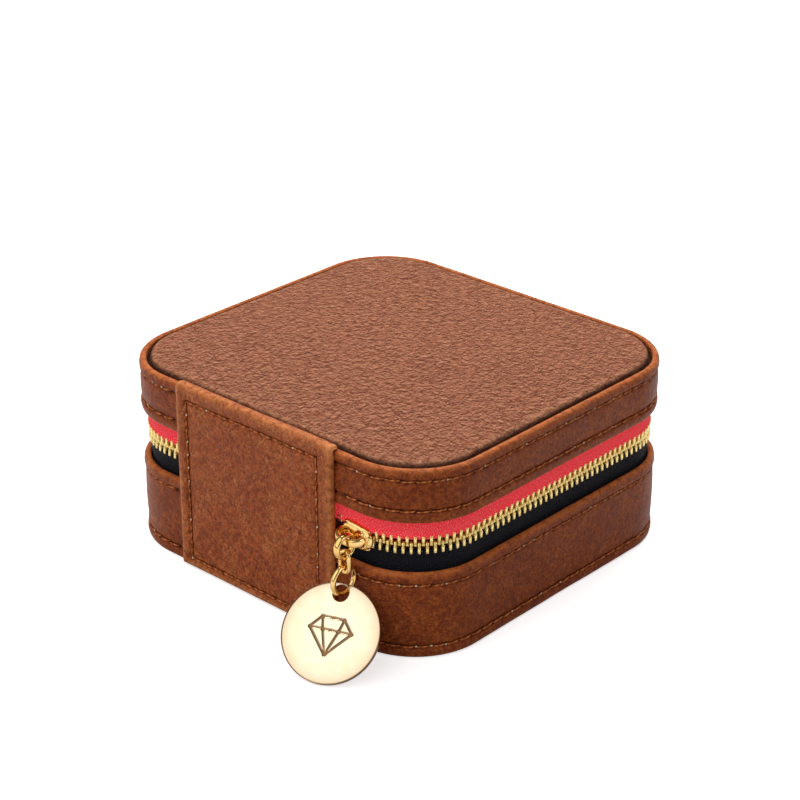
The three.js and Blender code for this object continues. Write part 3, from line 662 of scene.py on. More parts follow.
def padded_top(rings=112, groove=2.15):
    """The crowned panel: z = foot + shoulder(d) + crown(d), where d is the distance to the edge. A
    turned flange closes the groove under it."""
    foot = box_of("lid_top_panel")[0][2] + 0.1
    far = 0.955
    fine_rings = 26
    scale = np.concatenate([np.linspace(0, far, rings - fine_rings),
                            np.linspace(far, 1, fine_rings + 2)[1:]])
    k, turn = spread_rings(rings)
    centre, pointer = rolling(turn * girth + reach_x + quarter + reach_y)
    flat = (centre + pointer * (corner - groove)) * scale[k][..., None]
    x, y = flat[..., 0], flat[..., 1]
    d = np.clip(edge_distance(x, y, groove), 0, None)
    shoulder = 1 - (1 - np.clip(d / 1.7, 0, 1)) ** 2.3
    z = foot + 1.85 * shoulder ** (1 / 2.3) + 0.72 * (1 - np.exp(-d / 13))
    z = z + creases(x, y) * np.clip(d / 1.5, 0, 1)
    side = 2 * rings + 1
    rim = grid_rim(side, side)
    edge = flat.reshape(-1, 2)[rim]
    spot = edge / np.array([half_x - groove, half_y - groove])
    outward = np.stack([np.sign(spot[:, 0]) * np.clip(np.abs(edge[:, 0]) - reach_x, 0, None),
                        np.sign(spot[:, 1]) * np.clip(np.abs(edge[:, 1]) - reach_y, 0, None)], 1)
    outward = outward / np.linalg.norm(outward, axis=1)[:, None]
    flange = groove - 1.42
    steps = ((0.25, foot - 0.2), (flange, foot - 0.25), (flange, foot - 0.3))
    skirt = [np.column_stack([edge + outward * out, 0 * edge[:, 0] + level]) for out, level in steps]
    ring = np.arange(len(rim))
    rows = [rim] + [side * side + len(rim) * s + ring for s in range(len(steps))]
    bands = [np.column_stack([a, np.roll(a, -1), np.roll(b, -1), b]) for a, b in zip(rows, rows[1:])]
    faces = [grid_faces(side, side), np.concatenate(bands), rows[-1][None]]
    points = np.concatenate([np.dstack([x, y, z]).reshape(-1, 3), *skirt])
    piece = make_piece("lid_padded_top", points, faces, top_leather)
    extra = np.zeros(len(rim) * len(steps))
    mark(piece, "worn", np.concatenate([(0.7 * bell(d - 0.5, 0.9)).ravel(), extra + 0.3]))
    # Painted shade at the foot of the shoulder and on the flange down in the groove.
    mark(piece, "painted_shade", np.concatenate([(0.85 * bell(d, 0.55)).ravel(), extra + 0.95]))
    place(piece, "lid", "top_leather", "lid_top_panel")


padded_top()

# %% [markdown]
# ## The hinge panel
# One piece of leather joins the base to the lid. It lies on the back wall, goes over the rim and is
# tucked into the groove, and it is sewn down all round through the walls. It is the hinge: it has to
# bend when the lid opens. So both of its CAD halves are stood for by one fine mesh that follows the
# base below the fold and the lid above it, and turns evenly in between.

# %% Slabs
def slab(name, front, back, finish):
    """A closed sheet from two matching grids, front and back, joined by a strip round their edge."""
    rows, columns = front.shape[:2]
    rim = grid_rim(rows, columns)
    behind = rim + rows * columns
    strip = np.column_stack([rim, np.roll(rim, -1), np.roll(behind, -1), behind])
    face = grid_faces(rows, columns)
    faces = [face, face[:, ::-1] + rows * columns, strip]
    points = np.concatenate([front.reshape(-1, 3), back.reshape(-1, 3)])
    return make_piece(name, points, faces, finish)


def levels(low, high, step, fine=(), reach=1.3, fine_step=0.19):
    """Numbers from low to high, `step` apart, and closer together near each number in `fine`."""
    coarse = np.linspace(low, high, int(round((high - low) / step)) + 1)
    close = [row + np.arange(-reach, reach, fine_step) for row in fine]
    every = np.sort(np.concatenate([coarse, *close]))
    every = every[(every >= low) & (every <= high)]
    return every[np.concatenate([[True], np.diff(every) > fine_step * 0.4])]


# %% Panel shape
panel_bend = 1.15
panel_face = panel_high[1]
panel_foot = panel_low[2]
lip_low, lip_high = box_of("hinge_panel_upper")
lip_end = lip_low[1] + 0.75
tuck = 0.75
seam_left, seam_right, seam_foot, seam_top = -20.4, 21.5, base_rows[0], lid_rows[1]
sewn_wide, sewn_high = seam_right - seam_left, seam_top - seam_foot
stitch_wide = sewn_wide / round(sewn_wide / stitch)
stitch_high = sewn_high / round(sewn_high / stitch)


def on_panel(x, along, out):
    """Points on the panel: `along` mm up from its lower edge, over the rim and down into the groove,
    and `out` mm off its face. A small circle rolls up the face, across the rim and down again."""
    top = lip_high[2] - panel_bend
    across = panel_face - panel_bend - (lip_end + panel_bend)
    turned = math.pi / 2 * panel_bend
    stops = np.cumsum([0, top - panel_foot, turned, across, turned, tuck])
    angle = np.interp(along, stops, np.radians([0, 0, 90, 90, 180, 180]))
    y = np.interp(along, stops, panel_face - panel_bend - np.array([0, 0, 0, across, across, across]))
    z = np.interp(along, stops, [panel_foot, top, top, top, top, top - tuck])
    x, y, z, angle, out = np.broadcast_arrays(x, y, z, angle, out)
    return np.stack([x, y + (panel_bend + out) * np.cos(angle), z + (panel_bend + out) * np.sin(angle)], -1)


panel_length = (lip_high[2] - panel_bend - panel_foot) + math.pi * panel_bend + tuck
panel_length += panel_face - lip_end - 2 * panel_bend


def panel_swell(x, along):
    """Height of the panel's face: it swells inside the sewn rectangle and in the border outside it,
    dips at the seam and its holes, and rounds off over the cut edges. Also gives the seam's painted shade."""
    z = along + panel_foot
    beside = np.maximum(x - seam_right, seam_left - x)
    above = np.maximum(z - seam_top, seam_foot - z)
    off = np.maximum(beside, above)
    near = np.where(beside > above, from_hole(z - seam_foot, stitch_high),
                    from_hole(x - seam_left, stitch_wide))
    edge = np.minimum(np.minimum(panel_half - np.abs(x), along), panel_length - along)
    inside = 0.34 * (1 - np.exp(np.minimum(off, 0) / 2.2))
    border = 0.42 * (1 - np.exp(-np.maximum(off, 0) / 0.8))
    swell = np.where(off < 0, inside, border)
    swell = swell - drawn_in(near, off)
    swell = swell + 0.1 * rough(x, z, 15, 51) + 0.05 * rough(x, z, 6, 52)
    swell = swell - 0.3 * np.clip((along - (lip_high[2] - panel_foot)) / 1.5, 0, 1)
    cut = 1 - np.clip(edge / 1.15, 0, 1)
    swell = swell - 1.05 * (1 - np.sqrt(1 - cut ** 2))
    return swell, edge, seam_shade(near, off)


hinge_z, fold_half = 28.0, 5.5
fold_start = (0, panel_face * MM, (hinge_z - fold_half) * MM)
fold_end = (0, panel_face * MM, (hinge_z + fold_half) * MM)


def hinge_panel():
    """The panel as a slab, thinner where it goes over the rim, bent at the fold between the walls."""
    x = levels(-panel_half, panel_half, 0.45, (seam_left, seam_right, -panel_half, panel_half))[None]
    seams = (0, seam_foot - panel_foot, seam_top - panel_foot, panel_length)
    along = levels(0, panel_length, 0.45, seams)[:, None]
    swell, edge, dark = panel_swell(x, along)
    thick = np.interp(along, [0, seam_top, panel_length - 4.5, panel_length], [1.22, 1.22, 0.7, 0.6])
    back_in = 0.12 * (1 - np.clip(edge / 0.6, 0, 1))
    front = on_panel(x, along, swell)
    back = on_panel(x, along, -thick + back_in)
    piece = slab("hinge_panel_leather", front, back, panel_leather)
    wear_and_painted_light = 0.8 * bell(edge - 0.5, 0.9) + 0.5 * bell(along - (lip_high[2] - panel_foot), 1.6)
    mark(piece, "worn", np.concatenate([np.clip(wear_and_painted_light, 0, 1).ravel(), np.full(wear_and_painted_light.size, 0.2)]))
    # Painted shade along the seam, on the front only.
    mark(piece, "painted_shade", np.concatenate([dark.ravel(), np.zeros(dark.size)]))
    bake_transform(piece, "base", "lid", start=fold_start, end=fold_end)
    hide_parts("hinge_panel_lower", "hinge_panel_upper")


hinge_panel()


# %% Panel stitches
def panel_stitches():
    """Two upright and two level rows of stitches on the panel, which bend with it. A level row's
    rings are taken in reverse, because its run and its width have changed places."""
    tall = (np.arange(round(sewn_high / stitch_high)) + 0.5) * stitch_high + seam_foot - panel_foot
    wide = (np.arange(round(sewn_wide / stitch_wide)) + 0.5) * stitch_wide + seam_left
    parts = []
    for k, x in enumerate((seam_left, seam_right)):
        run, height, across = stitch_tubes(len(tall), stitch_high, thread_thick, 0.1, 61 + k)
        parts.append(on_panel(x + across, tall[:, None, None] + run, height))
    for k, z in enumerate((seam_foot, seam_top)):
        run, height, across = stitch_tubes(len(wide), stitch_wide, thread_thick, 0.1, 63 + k)
        parts.append(on_panel(wide[:, None, None] + run, z - panel_foot + across, height)[:, ::-1])
    faces = tube_faces(tube_steps, tube_sides, 2 * len(tall) + 2 * len(wide))
    piece = make_piece("hinge_panel_stitches", np.concatenate(parts), faces, tan_thread)
    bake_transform(piece, "base", "lid", start=fold_start, end=fold_end)
    drawn = np.random.default_rng(71)
    x = np.concatenate([0 * tall + seam_left, 0 * tall + seam_right, wide - stitch_wide / 2])
    below = tall - stitch_high / 2
    up = np.concatenate([below, below, 0 * wide + seam_top - panel_foot])
    kept = drawn.uniform(size=len(x)) < 0.42
    spots = on_panel(x[kept] + drawn.uniform(-0.1, 0.1, kept.sum()), up[kept], 0.02)
    outward = np.tile([0.0, 1.0, 0.0], (kept.sum(), 1))
    knots = dots("hinge_panel_dots", spots, outward, dot_radius + 0.01, under_thread)
    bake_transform(knots, "base", "lid", start=fold_start, end=fold_end)


panel_stitches()

# %% [markdown]
# ## The zip
# The tapes are woven polyester in a fine herringbone, coral on the lid and near-black navy on the
# base, with a corded edge that the teeth are clamped on. The teeth are stamped from brass wire, one
# for every 1.9 mm on each side, and mesh half a pitch apart. A tape is a slab carried round the
# path. A tooth is a bar of eight-sided rings with a wider head, copied along both edges.


# %% Woven tape
def woven_tape(name, light, dark, fleck, glow):
    """Herringbone-woven polyester: slanting threads 0.7 mm apart whose slant flips every 1.1 mm,
    read from the tape's own layout in mm, with a fleck of light on single fibres. `glow` makes the
    tape give off light of its own: painted light that keeps it bright where it lies in shade."""
    made, tree, output = new_material(name)
    flat = add(tree, "UVMap", uv_map="UVMap").outputs[0]
    split = add(tree, "SeparateXYZ", {0: flat})
    zigzag = add(tree, "Math", {0: split.outputs[1], 1: 1.1}, operation="PINGPONG").outputs[0]
    slant = add(tree, "Math", {0: split.outputs[0], 1: zigzag}, operation="ADD").outputs[0]
    phase = add(tree, "Math", {0: slant, 1: 2 * math.pi / 0.7}, operation="MULTIPLY").outputs[0]
    thread = add(tree, "Math", {0: phase}, operation="SINE").outputs[0]
    fibre = add(tree, "TexNoise", {"Vector": flat, "Scale": 3.2, "Detail": 4,
                                   "Roughness": 0.7}).outputs["Fac"]
    share = add(tree, "MapRange", {0: thread, 1: -1, 2: 1, 3: 0.25, 4: 1}).outputs[0]
    share = add(tree, "Math", {0: share, 1: fibre}, operation="MULTIPLY").outputs[0]
    share = add(tree, "MapRange", {0: share, 1: 0.1, 2: 0.6, 3: 0, 4: 1}).outputs[0]
    tone = add(tree, "Mix", {0: share, 6: colour(dark), 7: colour(light)}, data_type="RGBA").outputs[2]
    spark = add(tree, "MapRange", {0: fibre, 1: 0.52, 2: 0.7, 3: 0, 4: 0.75}).outputs[0]
    tone = add(tree, "Mix", {0: spark, 6: tone, 7: colour(fleck)}, data_type="RGBA").outputs[2]
    height = add(tree, "Math", {0: thread, 1: 0.35, 2: fibre}, operation="MULTIPLY_ADD").outputs[0]
    bump = add(tree, "Bump", {"Height": height, "Strength": 1.0, "Distance": 0.35 * MM}).outputs[0]
    shader = add(tree, "BsdfPrincipled", {"Base Color": tone, "Roughness": 0.7, "Normal": bump,
                                          "Specular IOR Level": 0.15, "Emission Color": tone,
                                          "Emission Strength": glow})
    tree.links.new(shader.outputs[0], output.inputs[0])
    return made


# The coral tape glows: painted light that keeps it bright on the shaded side.
coral_tape = woven_tape("coral_tape", "#ff525a", "#ee1424", "#ffaeb0", glow=0.4)
navy_tape = woven_tape("navy_tape", "#12131c", "#020203", "#4a4c5c", glow=0)


tape_end = 23  # both ends are hidden behind the hinge panel, this far from its middle
tape_front, tape_back = 1.6, 2.2


def zip_tape(name, node, finish, up, bulge):
    """One tape: a slab from behind its wall to the teeth. `up` is +1 for the lid's tape. It bows out
    by `bulge` where no wall holds it, and its free edge is a cord."""
    low, high = box_of(node)
    free, hidden = (low[2], high[2]) if up > 0 else (high[2], low[2])
    stations = np.linspace(tape_end, girth - tape_end, 640)[:, None]
    across = np.concatenate([np.linspace(0, 1.2, 9), np.linspace(1.6, abs(hidden - free), 14)])[None]
    bow = bulge * np.clip(1 - (across / 4.6) ** 2, 0, 1)
    cord = 0.32 * bell(across - 0.5, 0.42)
    front = on_wall(stations, tape_front - bow - cord, free + up * across + 0 * stations)
    back = on_wall(stations, tape_back - bow + cord, free + up * across + 0 * stations)
    piece = slab(name, front, back, finish)
    run = np.broadcast_to(stations, front.shape[:2]).ravel()
    side = np.broadcast_to(across, front.shape[:2]).ravel()
    lay_out(piece, np.tile(run, 2), np.tile(side, 2))
    return piece


base_tape = zip_tape("base_zip_tape", "lower_zip_tape", navy_tape, -1, 0.15)
place(base_tape, "base", "navy_tape", "lower_zip_tape")
lid_tape = zip_tape("lid_zip_tape", "upper_zip_tape", coral_tape, 1, 0.35)
# The zip's ends are sewn to the base beside the panel. The lid's tape follows the base at `pinned`
# and the lid from `freed` on, a little further in and up.
pinned = np.array([0, 46.0, 30.4])
freed = pinned + 2.35 * np.array([0, -0.785, 0.62])
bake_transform(lid_tape, "base", "lid", start=tuple(pinned * MM), end=tuple(freed * MM))
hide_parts("upper_zip_tape")


# %% Metals
def polished_metal(name, pale, deep, roughness, scuff, bare=1.0):
    """Polished and plated brass: a true mirror with hairline scuffs from handling, so roughness
    changes over half a millimetre, and a warmer tone in worn patches. Where a piece stores painted
    shade on its points, the metal is painted dark bronze. `bare` is under 1 where a milky lacquer
    covers the metal."""
    made, tree, output = new_material(name)
    place_on = add(tree, "TexCoord").outputs["Object"]
    cloud = add(tree, "TexNoise", {"Vector": place_on, "Scale": per(3), "Detail": 4}).outputs["Fac"]
    hair = add(tree, "TexNoise", {"Vector": place_on, "Scale": per(0.5), "Detail": 3, "Distortion": 1.5})
    tone = add(tree, "Mix", {0: cloud, 6: colour(deep), 7: colour(pale)}, data_type="RGBA").outputs[2]
    # Painted shade, stored on the piece's points, darkens the metal to bronze.
    painted_dark = add(tree, "Attribute", attribute_name="painted_shade").outputs["Fac"]
    tone = add(tree, "Mix", {0: painted_dark, 6: tone, 7: colour("#7a5222")}, data_type="RGBA").outputs[2]
    dull = add(tree, "MapRange", {0: hair.outputs["Fac"], 1: 0.35, 2: 0.75, 3: roughness,
                                  4: roughness + scuff})
    bump = add(tree, "Bump", {"Height": cloud, "Strength": 0.25, "Distance": 0.02 * MM}).outputs[0]
    shader = add(tree, "BsdfPrincipled", {"Base Color": tone, "Metallic": bare, "Normal": bump,
                                          "Roughness": dull.outputs[0]})
    tree.links.new(shader.outputs[0], output.inputs[0])
    return made


tooth_brass = polished_metal("tooth_brass", "#ffeca6", "#f6d47c", 0.24, 0.12, bare=0.8)
gold_plate = polished_metal("gold_plate", "#f6d592", "#e0ae5c", 0.09, 0.06)
tag_plate = polished_metal("tag_plate", "#fff0d6", "#f6ddb2", 0.14, 0.06)
print("metals:", tooth_brass.name, gold_plate.name, tag_plate.name)


# %% Teeth
tooth_pitch = 1.88
tooth_front, tooth_back = 0.85, 2.6
tooth_rings, tooth_sides = 6, 8


def zip_teeth(name, root, up, shift):
    """A row of teeth. Each is a stack of eight-sided rings from its root to its head: the rings'
    half widths narrow at the neck and widen at the head, and both ends are closed."""
    height = np.array([0, 0.14, 1.5, 1.75, 2.3, 2.62])[None, :, None]
    half = np.array([0.3, 0.37, 0.35, 0.27, 0.4, 0.32])[None, :, None]
    deep = np.array([0.78, 0.9, 0.88, 0.7, 0.72, 0.5])[None, :, None]
    ring_w = np.array([1, 1, 0.72, -0.72, -1, -1, -0.72, 0.72])[None, None]
    ring_d = np.array([-0.78, 0.78, 1, 1, 0.78, -0.78, -1, -1])[None, None]
    first, last = 29.2, girth - 26.4
    middles = np.arange(first + shift, last, tooth_pitch)[:, None, None]
    centre = (tooth_front + tooth_back) / 2
    points = on_wall(middles + half * ring_w, centre + deep * ring_d, root + up * height)
    print(len(middles), "teeth")
    return make_piece(name, points, tube_faces(tooth_rings, tooth_sides, len(middles)), tooth_brass)


def keep_stiff(piece, points_each):
    """Metal on a bending tape turns as a whole: the points of each tooth share their mean bend."""
    held = piece.data.attributes["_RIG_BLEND"].data
    share = np.zeros(len(held), np.float32)
    held.foreach_get("value", share)
    held.foreach_set("value", share.reshape(-1, points_each).mean(1).repeat(points_each))


base_teeth = zip_teeth("base_zip_teeth", 25.85, 1, 0)
place(base_teeth, "base", "brass_teeth", "lower_zip_teeth")
lid_teeth = zip_teeth("lid_zip_teeth", 30.2, -1, tooth_pitch / 2)
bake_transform(lid_teeth, "base", "lid", start=tuple(pinned * MM), end=tuple(freed * MM))
keep_stiff(lid_teeth, tooth_rings * tooth_sides)
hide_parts("upper_zip_teeth")


# %% Stops
def rounded_block(name, low, high, radius, finish, steps=5):
    """A block with round edges: every direction n of a sphere is moved to the corner that its signs
    name, centre + sign(n) * (half size - radius) + radius * n."""
    low, high = np.array(low, float), np.array(high, float)
    centre, half = (low + high) / 2, (high - low) / 2 - radius
    lat = np.radians(np.concatenate([np.linspace(-84, 0, steps), np.linspace(0, 84, steps)]))[:, None]
    lat_sign = np.repeat([-1, 1], steps)[:, None]
    lon = np.radians(np.concatenate([np.linspace(0, 90, steps) + 90 * k for k in range(4)]))[None]
    sign_x, sign_y = np.repeat([1, -1, -1, 1], steps)[None], np.repeat([1, 1, -1, -1], steps)[None]
    n = np.stack([np.cos(lat) * np.cos(lon), np.cos(lat) * np.sin(lon), np.sin(lat) + 0 * lon], -1)
    sign = np.stack([sign_x + 0 * lat, sign_y + 0 * lat, lat_sign + 0 * lon], -1)
    points = centre + sign * half + radius * n
    return make_piece(name, points, tube_faces(*points.shape[:2]), finish)


for node in ("upper_top_stop", "lower_top_stop", "zip_end_stop"):
    stop_low, stop_high = box_of(node)
    stop = rounded_block(node + "_brass", stop_low, stop_high, 0.3, tooth_brass)
    place(stop, "base", "brass_teeth", node)

# %% [markdown]
# ## The slider and its chain
# The slider is die-cast zinc, gold plated: a domed front plate with a rough cast tail, curled edges
# that run over the teeth, and a broad crown that the pull ring hangs from. Below it hang a link, a
# jump ring and a round tag. Castings have no sharp edges, so plates are domed and rounded.

# %% Domed plates
def domed_plate(outline, front, back, rings, shrink=3.0):
    """Points and faces of a closed plate in its own plane. The outline(turn) is scaled ring by ring,
    closer together near the rim, and front(x, y, scale) and back(...) give its two heights."""
    k, turn = spread_rings(rings)
    scale = 1 - (1 - k / rings) ** shrink
    flat = outline(turn.ravel()).reshape(k.shape + (2,)) * scale[..., None]
    x, y = flat[..., 0], flat[..., 1]
    top = np.stack([x, y, front(x, y, scale)], -1).reshape(-1, 3)
    under = np.stack([x, y, back(x, y, scale)], -1).reshape(-1, 3)
    side = 2 * rings + 1
    rim = grid_rim(side, side)
    behind = rim + side * side
    strip = np.column_stack([rim, np.roll(rim, -1), np.roll(behind, -1), behind])
    face = grid_faces(side, side)
    return np.concatenate([top, under]), [face, face[:, ::-1] + side * side, strip]


def joined(parts):
    """Several point sets with their face lists as one: each part's numbers follow the last one's."""
    points, faces, first = [], [], 0
    for some, polygons in parts:
        if enclosed(some - some.mean(0), polygons) < 0:
            polygons = [p[:, ::-1] for p in polygons]
        points.append(some)
        faces += [p + first for p in polygons]
        first += len(some)
    return np.concatenate(points), faces


slider_low, slider_high = box_of("slider_body")
slider_x = (slider_low[0] + slider_high[0]) / 2
slider_z = (slider_low[2] + slider_high[2]) / 2
slider_face = slider_high[1]
slider_long = slider_high[0] - slider_low[0]
slider_half = 2.95
shield = 0.16


def slider_outline(turn):
    """A rounded shield: a squared circle whose width grows from the tail to the head."""
    a = 2 * math.pi * turn
    x = slider_long / 2 * squared(np.cos(a), 0.72)
    y = slider_half * squared(np.sin(a), 0.72) * (1 + shield * x / (slider_long / 2))
    return np.stack([x, y], -1)


def slider_front(x, y, scale):
    """Domed face with a rounded rim; the tail is rough from the mould, drawn as small pyramids."""
    dome = 0.45 * (1 - scale ** 2) - 0.45 * (1 - np.sqrt(1 - np.clip((scale - 0.8) / 0.2, 0, 1) ** 2))
    tail = np.clip((-1.6 - x) / 0.5, 0, 1) * np.clip((0.93 - scale) / 0.1, 0, 1)
    cast = 0.42 * np.abs(np.sin(math.pi * x / 0.85)) * np.abs(np.sin(math.pi * y / 0.85))
    return slider_face - 0.1 + dome + tail * cast


def to_slider(points):
    """From the slider's plane (along, across, out) to the case: +X, +Z and +Y from its middle."""
    return np.stack([slider_x + points[:, 0], points[:, 2], slider_z + points[:, 1]], 1)


def curled_edge(side):
    """The edge that curls back over the teeth: a flattened round bar along the plate's side."""
    t = np.linspace(-0.8, 0.78, 24)[:, None]
    a = np.linspace(0, 2 * math.pi, 12, endpoint=False)[None]
    x = slider_long / 2 * t + 0 * a
    middle = 2.62 * (1 + shield * t) * np.sqrt(1 - 0.25 * t ** 4)
    end = np.sqrt(np.clip(1 - (np.abs(t) / 0.84) ** 12, 0.05, 1))
    y = side * (middle + 0.34 * np.cos(a) * end)
    z = slider_face - 0.95 + 0.75 * np.sin(a) * end
    return np.stack([x, y, z], -1).reshape(-1, 3), tube_faces(24, 12)


def slider_body():
    """Front plate, back plate, the post between them and two curled edges, as one casting."""
    back, post_x, post_round = slider_low[1], 3.7, 0.55
    plate = domed_plate(slider_outline, slider_front, lambda x, y, s: slider_face - 0.85 + 0 * x, 26, 1.6)
    rear = domed_plate(slider_outline, lambda x, y, s: back + 0.85 - 0.2 * s ** 8,
                       lambda x, y, s: back + 0.25 * s ** 8, 12, 1.6)
    a = np.linspace(0, 2 * math.pi, 16, endpoint=False)[None]
    y = np.linspace(back + 0.4, slider_face - 0.4, 4)[:, None]
    post = np.stack([post_x + post_round * np.cos(a) + 0 * y, post_round * np.sin(a) + 0 * y,
                     y + 0 * a], -1)
    post = post.reshape(-1, 3), tube_faces(4, 16)
    points, faces = joined([plate, rear, post, curled_edge(1), curled_edge(-1)])
    piece = make_piece("slider_casting", to_slider(points), faces, gold_plate)
    place(piece, "slider", "gold_plate", "slider_body")


slider_body()


# %% Crown, rings and link
def swept(path, normal, side, thick, wide, ends=False, power=1.0, sides=20):
    """A bar along a path: at each point an ellipse, `thick` along `normal` and `wide` along `side`.
    A power under 1 squares its section. Without ends it closes on itself."""
    a = np.linspace(0, 2 * math.pi, sides, endpoint=False)
    c = squared(np.cos(a), power)[None, :, None]
    s = squared(np.sin(a), power)[None, :, None]
    thick = np.broadcast_to(thick, len(path))[:, None, None] / 2
    wide = np.broadcast_to(wide, len(path))[:, None, None] / 2
    points = path[:, None] + normal[:, None] * c * thick + side * s * wide
    faces = tube_faces(len(path), sides) if ends else [grid_faces(len(path), sides, True, True)]
    return points.reshape(-1, 3), faces


def crown():
    """The crown: an arch in the slider's length, broad at its feet, that leans over the head."""
    low, high = box_of("slider_bridge")
    angle = np.linspace(0, math.pi, 60)
    c, s = np.cos(angle), np.sin(angle)
    half = (high[0] - low[0]) / 2 - 0.5
    foot_y = low[1] - 0.35
    rise = high[1] - 0.15 - foot_y
    over_head = 0.9 * np.clip(c, 0, 1) + 0.5 * s
    x = (low[0] + high[0]) / 2 + half * squared(c, 0.7) + over_head
    y = foot_y + rise * s ** 0.62
    path = np.stack([x, y, np.full(60, slider_z)], 1)
    tangent = np.gradient(path, axis=0)
    tangent /= np.linalg.norm(tangent, axis=1)[:, None]
    normal = np.stack([-tangent[:, 1], tangent[:, 0], 0 * x], 1)
    foot = np.clip(np.abs(c), 0, 1) ** 3
    points, faces = swept(path, normal, np.array([0, 0, 1.0]), 0.9 + 0.25 * foot,
                          1.7 + 1.6 * foot * (c > 0) + 0.6 * foot * (c <= 0), ends=True, power=0.75)
    place(make_piece("slider_crown", points, faces, gold_plate), "slider", "gold_plate", "slider_bridge")


def wire_loop(node, name, body, across, straight=0.0, broad=1.04):
    """A wire bent into a ring, or into a link with straight sides: a circle whose two halves stand
    `straight` apart along Z. `across` is the axis that runs through the loop, and `broad` is the
    wire's width along it over its thickness."""
    low, high = box_of(node)
    centre, size = (low + high) / 2, high - low
    flat = 1 - across
    wire = size[np.argmax(across)]
    radius = size[np.argmax(flat * np.array([1, 1, 0]))] / 2 - wire / 2
    angle = np.linspace(0, 2 * math.pi, 72, endpoint=False)
    outward = np.outer(np.cos(angle), flat * np.array([1, 1, 0])) + np.outer(np.sin(angle), [0, 0, 1.0])
    lift = np.outer(np.sign(np.sin(angle)) * straight / 2, [0, 0, 1.0])
    points, faces = swept(centre + radius * outward + lift, outward, across, wire, wire * broad, power=0.85)
    place(make_piece(name, points, faces, gold_plate), body, "gold_plate", node)


crown()
wire_loop("pull_ring", "gold_pull_ring", "pull_ring", np.array([1.0, 0, 0]), broad=1.45)
wire_loop("pull_link", "gold_link", "pull_link", np.array([0, 1.0, 0]), straight=2.5)
wire_loop("tag_ring", "gold_tag_ring", "tag_ring", np.array([1.0, 0, 0]))

# %% [markdown]
# ## The tag
# The tag is a stamped and plated brass disc. It is drawn as a family of circles that grows from the
# hole's rim to the disc's rim, so that the hole is cut cleanly and both edges are rounded. A simple
# gem outline is pressed into its face as a shallow groove.

# %% Tag
tag_radius, tag_thick, tag_hole, tag_reach = 11.4, 1.3, 1.9, 9.05
tag_yaw = math.radians(20.6)
ring_low, ring_high = box_of("tag_ring")
ring_wire = 1.25
hole_high = ring_low[2] + ring_wire / 2 + 0.05
hole_at = np.array([(ring_low[0] + ring_high[0]) / 2, (ring_low[1] + ring_high[1]) / 2 + 0.75, hole_high])
tag_long = tag_reach + tag_radius
tag_tilt = math.asin(hole_high / math.hypot(tag_long, tag_thick / 2)) - math.atan2(tag_thick / 2, tag_long)
gem = {"table": (-2.6, -3.4), "girdle": (-5.0, -0.6), "culet": (0, 5.0), "star": (-1.9, -0.6)}


def gem_lines():
    """The gem's lines as pairs of ends, mirrored left and right."""
    table, girdle, culet, star = (np.array(gem[k], float) for k in ("table", "girdle", "culet", "star"))
    flip = np.array([-1, 1.0])
    half = [(table, girdle), (girdle, culet), (star, culet), (girdle, np.array([0, girdle[1]])),
            (table, np.array([0, table[1]])), (table, star)]
    return half + [(a * flip, b * flip) for a, b in half]


def to_line(x, y, a, b):
    """Distance from points to the stretch between a and b."""
    run = b - a
    t = np.clip(((x - a[0]) * run[0] + (y - a[1]) * run[1]) / (run @ run), 0, 1)
    return np.hypot(x - a[0] - t * run[0], y - a[1] - t * run[1])


def tag():
    """Front, rim, back and the hole's wall as one closed sheet. The rows are circles: the hole's
    rounded edge, then circles whose centre moves to the disc's centre as they grow, then the rim's
    rounded edge, and the same again for the back."""
    e = np.radians(np.linspace(0, 90, 7))
    circles, sides, bevel = 126, 360, 0.2
    t = np.linspace(0, 1, circles)
    shift = np.concatenate([0 * e, t[1:-1], 0 * e + 1])
    radius = np.concatenate([tag_hole + bevel * (1 - np.cos(e)),
                             (tag_hole + bevel + t * (tag_radius - tag_hole - 2 * bevel))[1:-1],
                             tag_radius - bevel * (1 - np.sin(e))])
    high = tag_thick / 2 - np.concatenate([bevel * (1 - np.sin(e)), 0 * t[1:-1], bevel * (1 - np.cos(e))])
    shift = np.concatenate([shift, shift[::-1]])[:, None]
    radius = np.concatenate([radius, radius[::-1]])[:, None]
    high = np.concatenate([high, -high[::-1]])[:, None]
    a = np.linspace(0, 2 * math.pi, sides, endpoint=False)[None]
    x, y = radius * np.cos(a), (1 - shift) * -tag_reach + radius * np.sin(a)
    groove = sum(bell(to_line(x, y, p, q), 0.26) for p, q in gem_lines())
    front = high > tag_thick / 2 - 0.01
    dish = 0.3 * (np.hypot(x, y) / tag_radius) ** 6
    z = high - np.where(front, 0.2 * np.clip(groove, 0, 1) + dish, 0)
    local = np.stack([x, y + tag_reach, z + 0 * x], -1).reshape(-1, 3)
    c, d = math.cos(tag_tilt), -math.sin(tag_tilt)
    lean = np.array([[1, 0, 0], [0, c, -d], [0, d, c]])
    c, d = math.cos(tag_yaw), math.sin(tag_yaw)
    face = np.array([[c, -d, 0], [d, c, 0], [0, 0, 1]])
    points = local @ (face @ lean).T + hole_at
    piece = make_piece("gold_tag", points, [grid_faces(len(high), sides, True, True)], tag_plate)
    # Painted shade on the tag: a dark line round its rim, a darkening towards the rim, and the gem's lines
    # darkened in their groove.
    rim = np.where(radius > tag_radius - 0.25, 0.85, 0.42 * (np.hypot(x, y) / tag_radius) ** 6)
    mark(piece, "painted_shade", np.maximum(rim, np.where(front, 0.95 * np.clip(groove, 0, 1), 0)))
    place(piece, "tag", "gold_plate", "tag_disc")
    print("tag: lowest point", points[:, 2].min().round(2), "CAD", box_of("tag_disc")[0][2].round(2))


tag()

# %% [markdown]
# ## Inside the case
# Both halves are lined with pale suede cloth over board. The base holds four padded ring rolls and
# two dividers, and the lid holds a framed mirror. The linings are profiles carried round the path,
# like the walls, and closed by one flat face in the middle. The rolls are foam wrapped in the same
# cloth, so they are full and round on top and creased where they are pressed together.


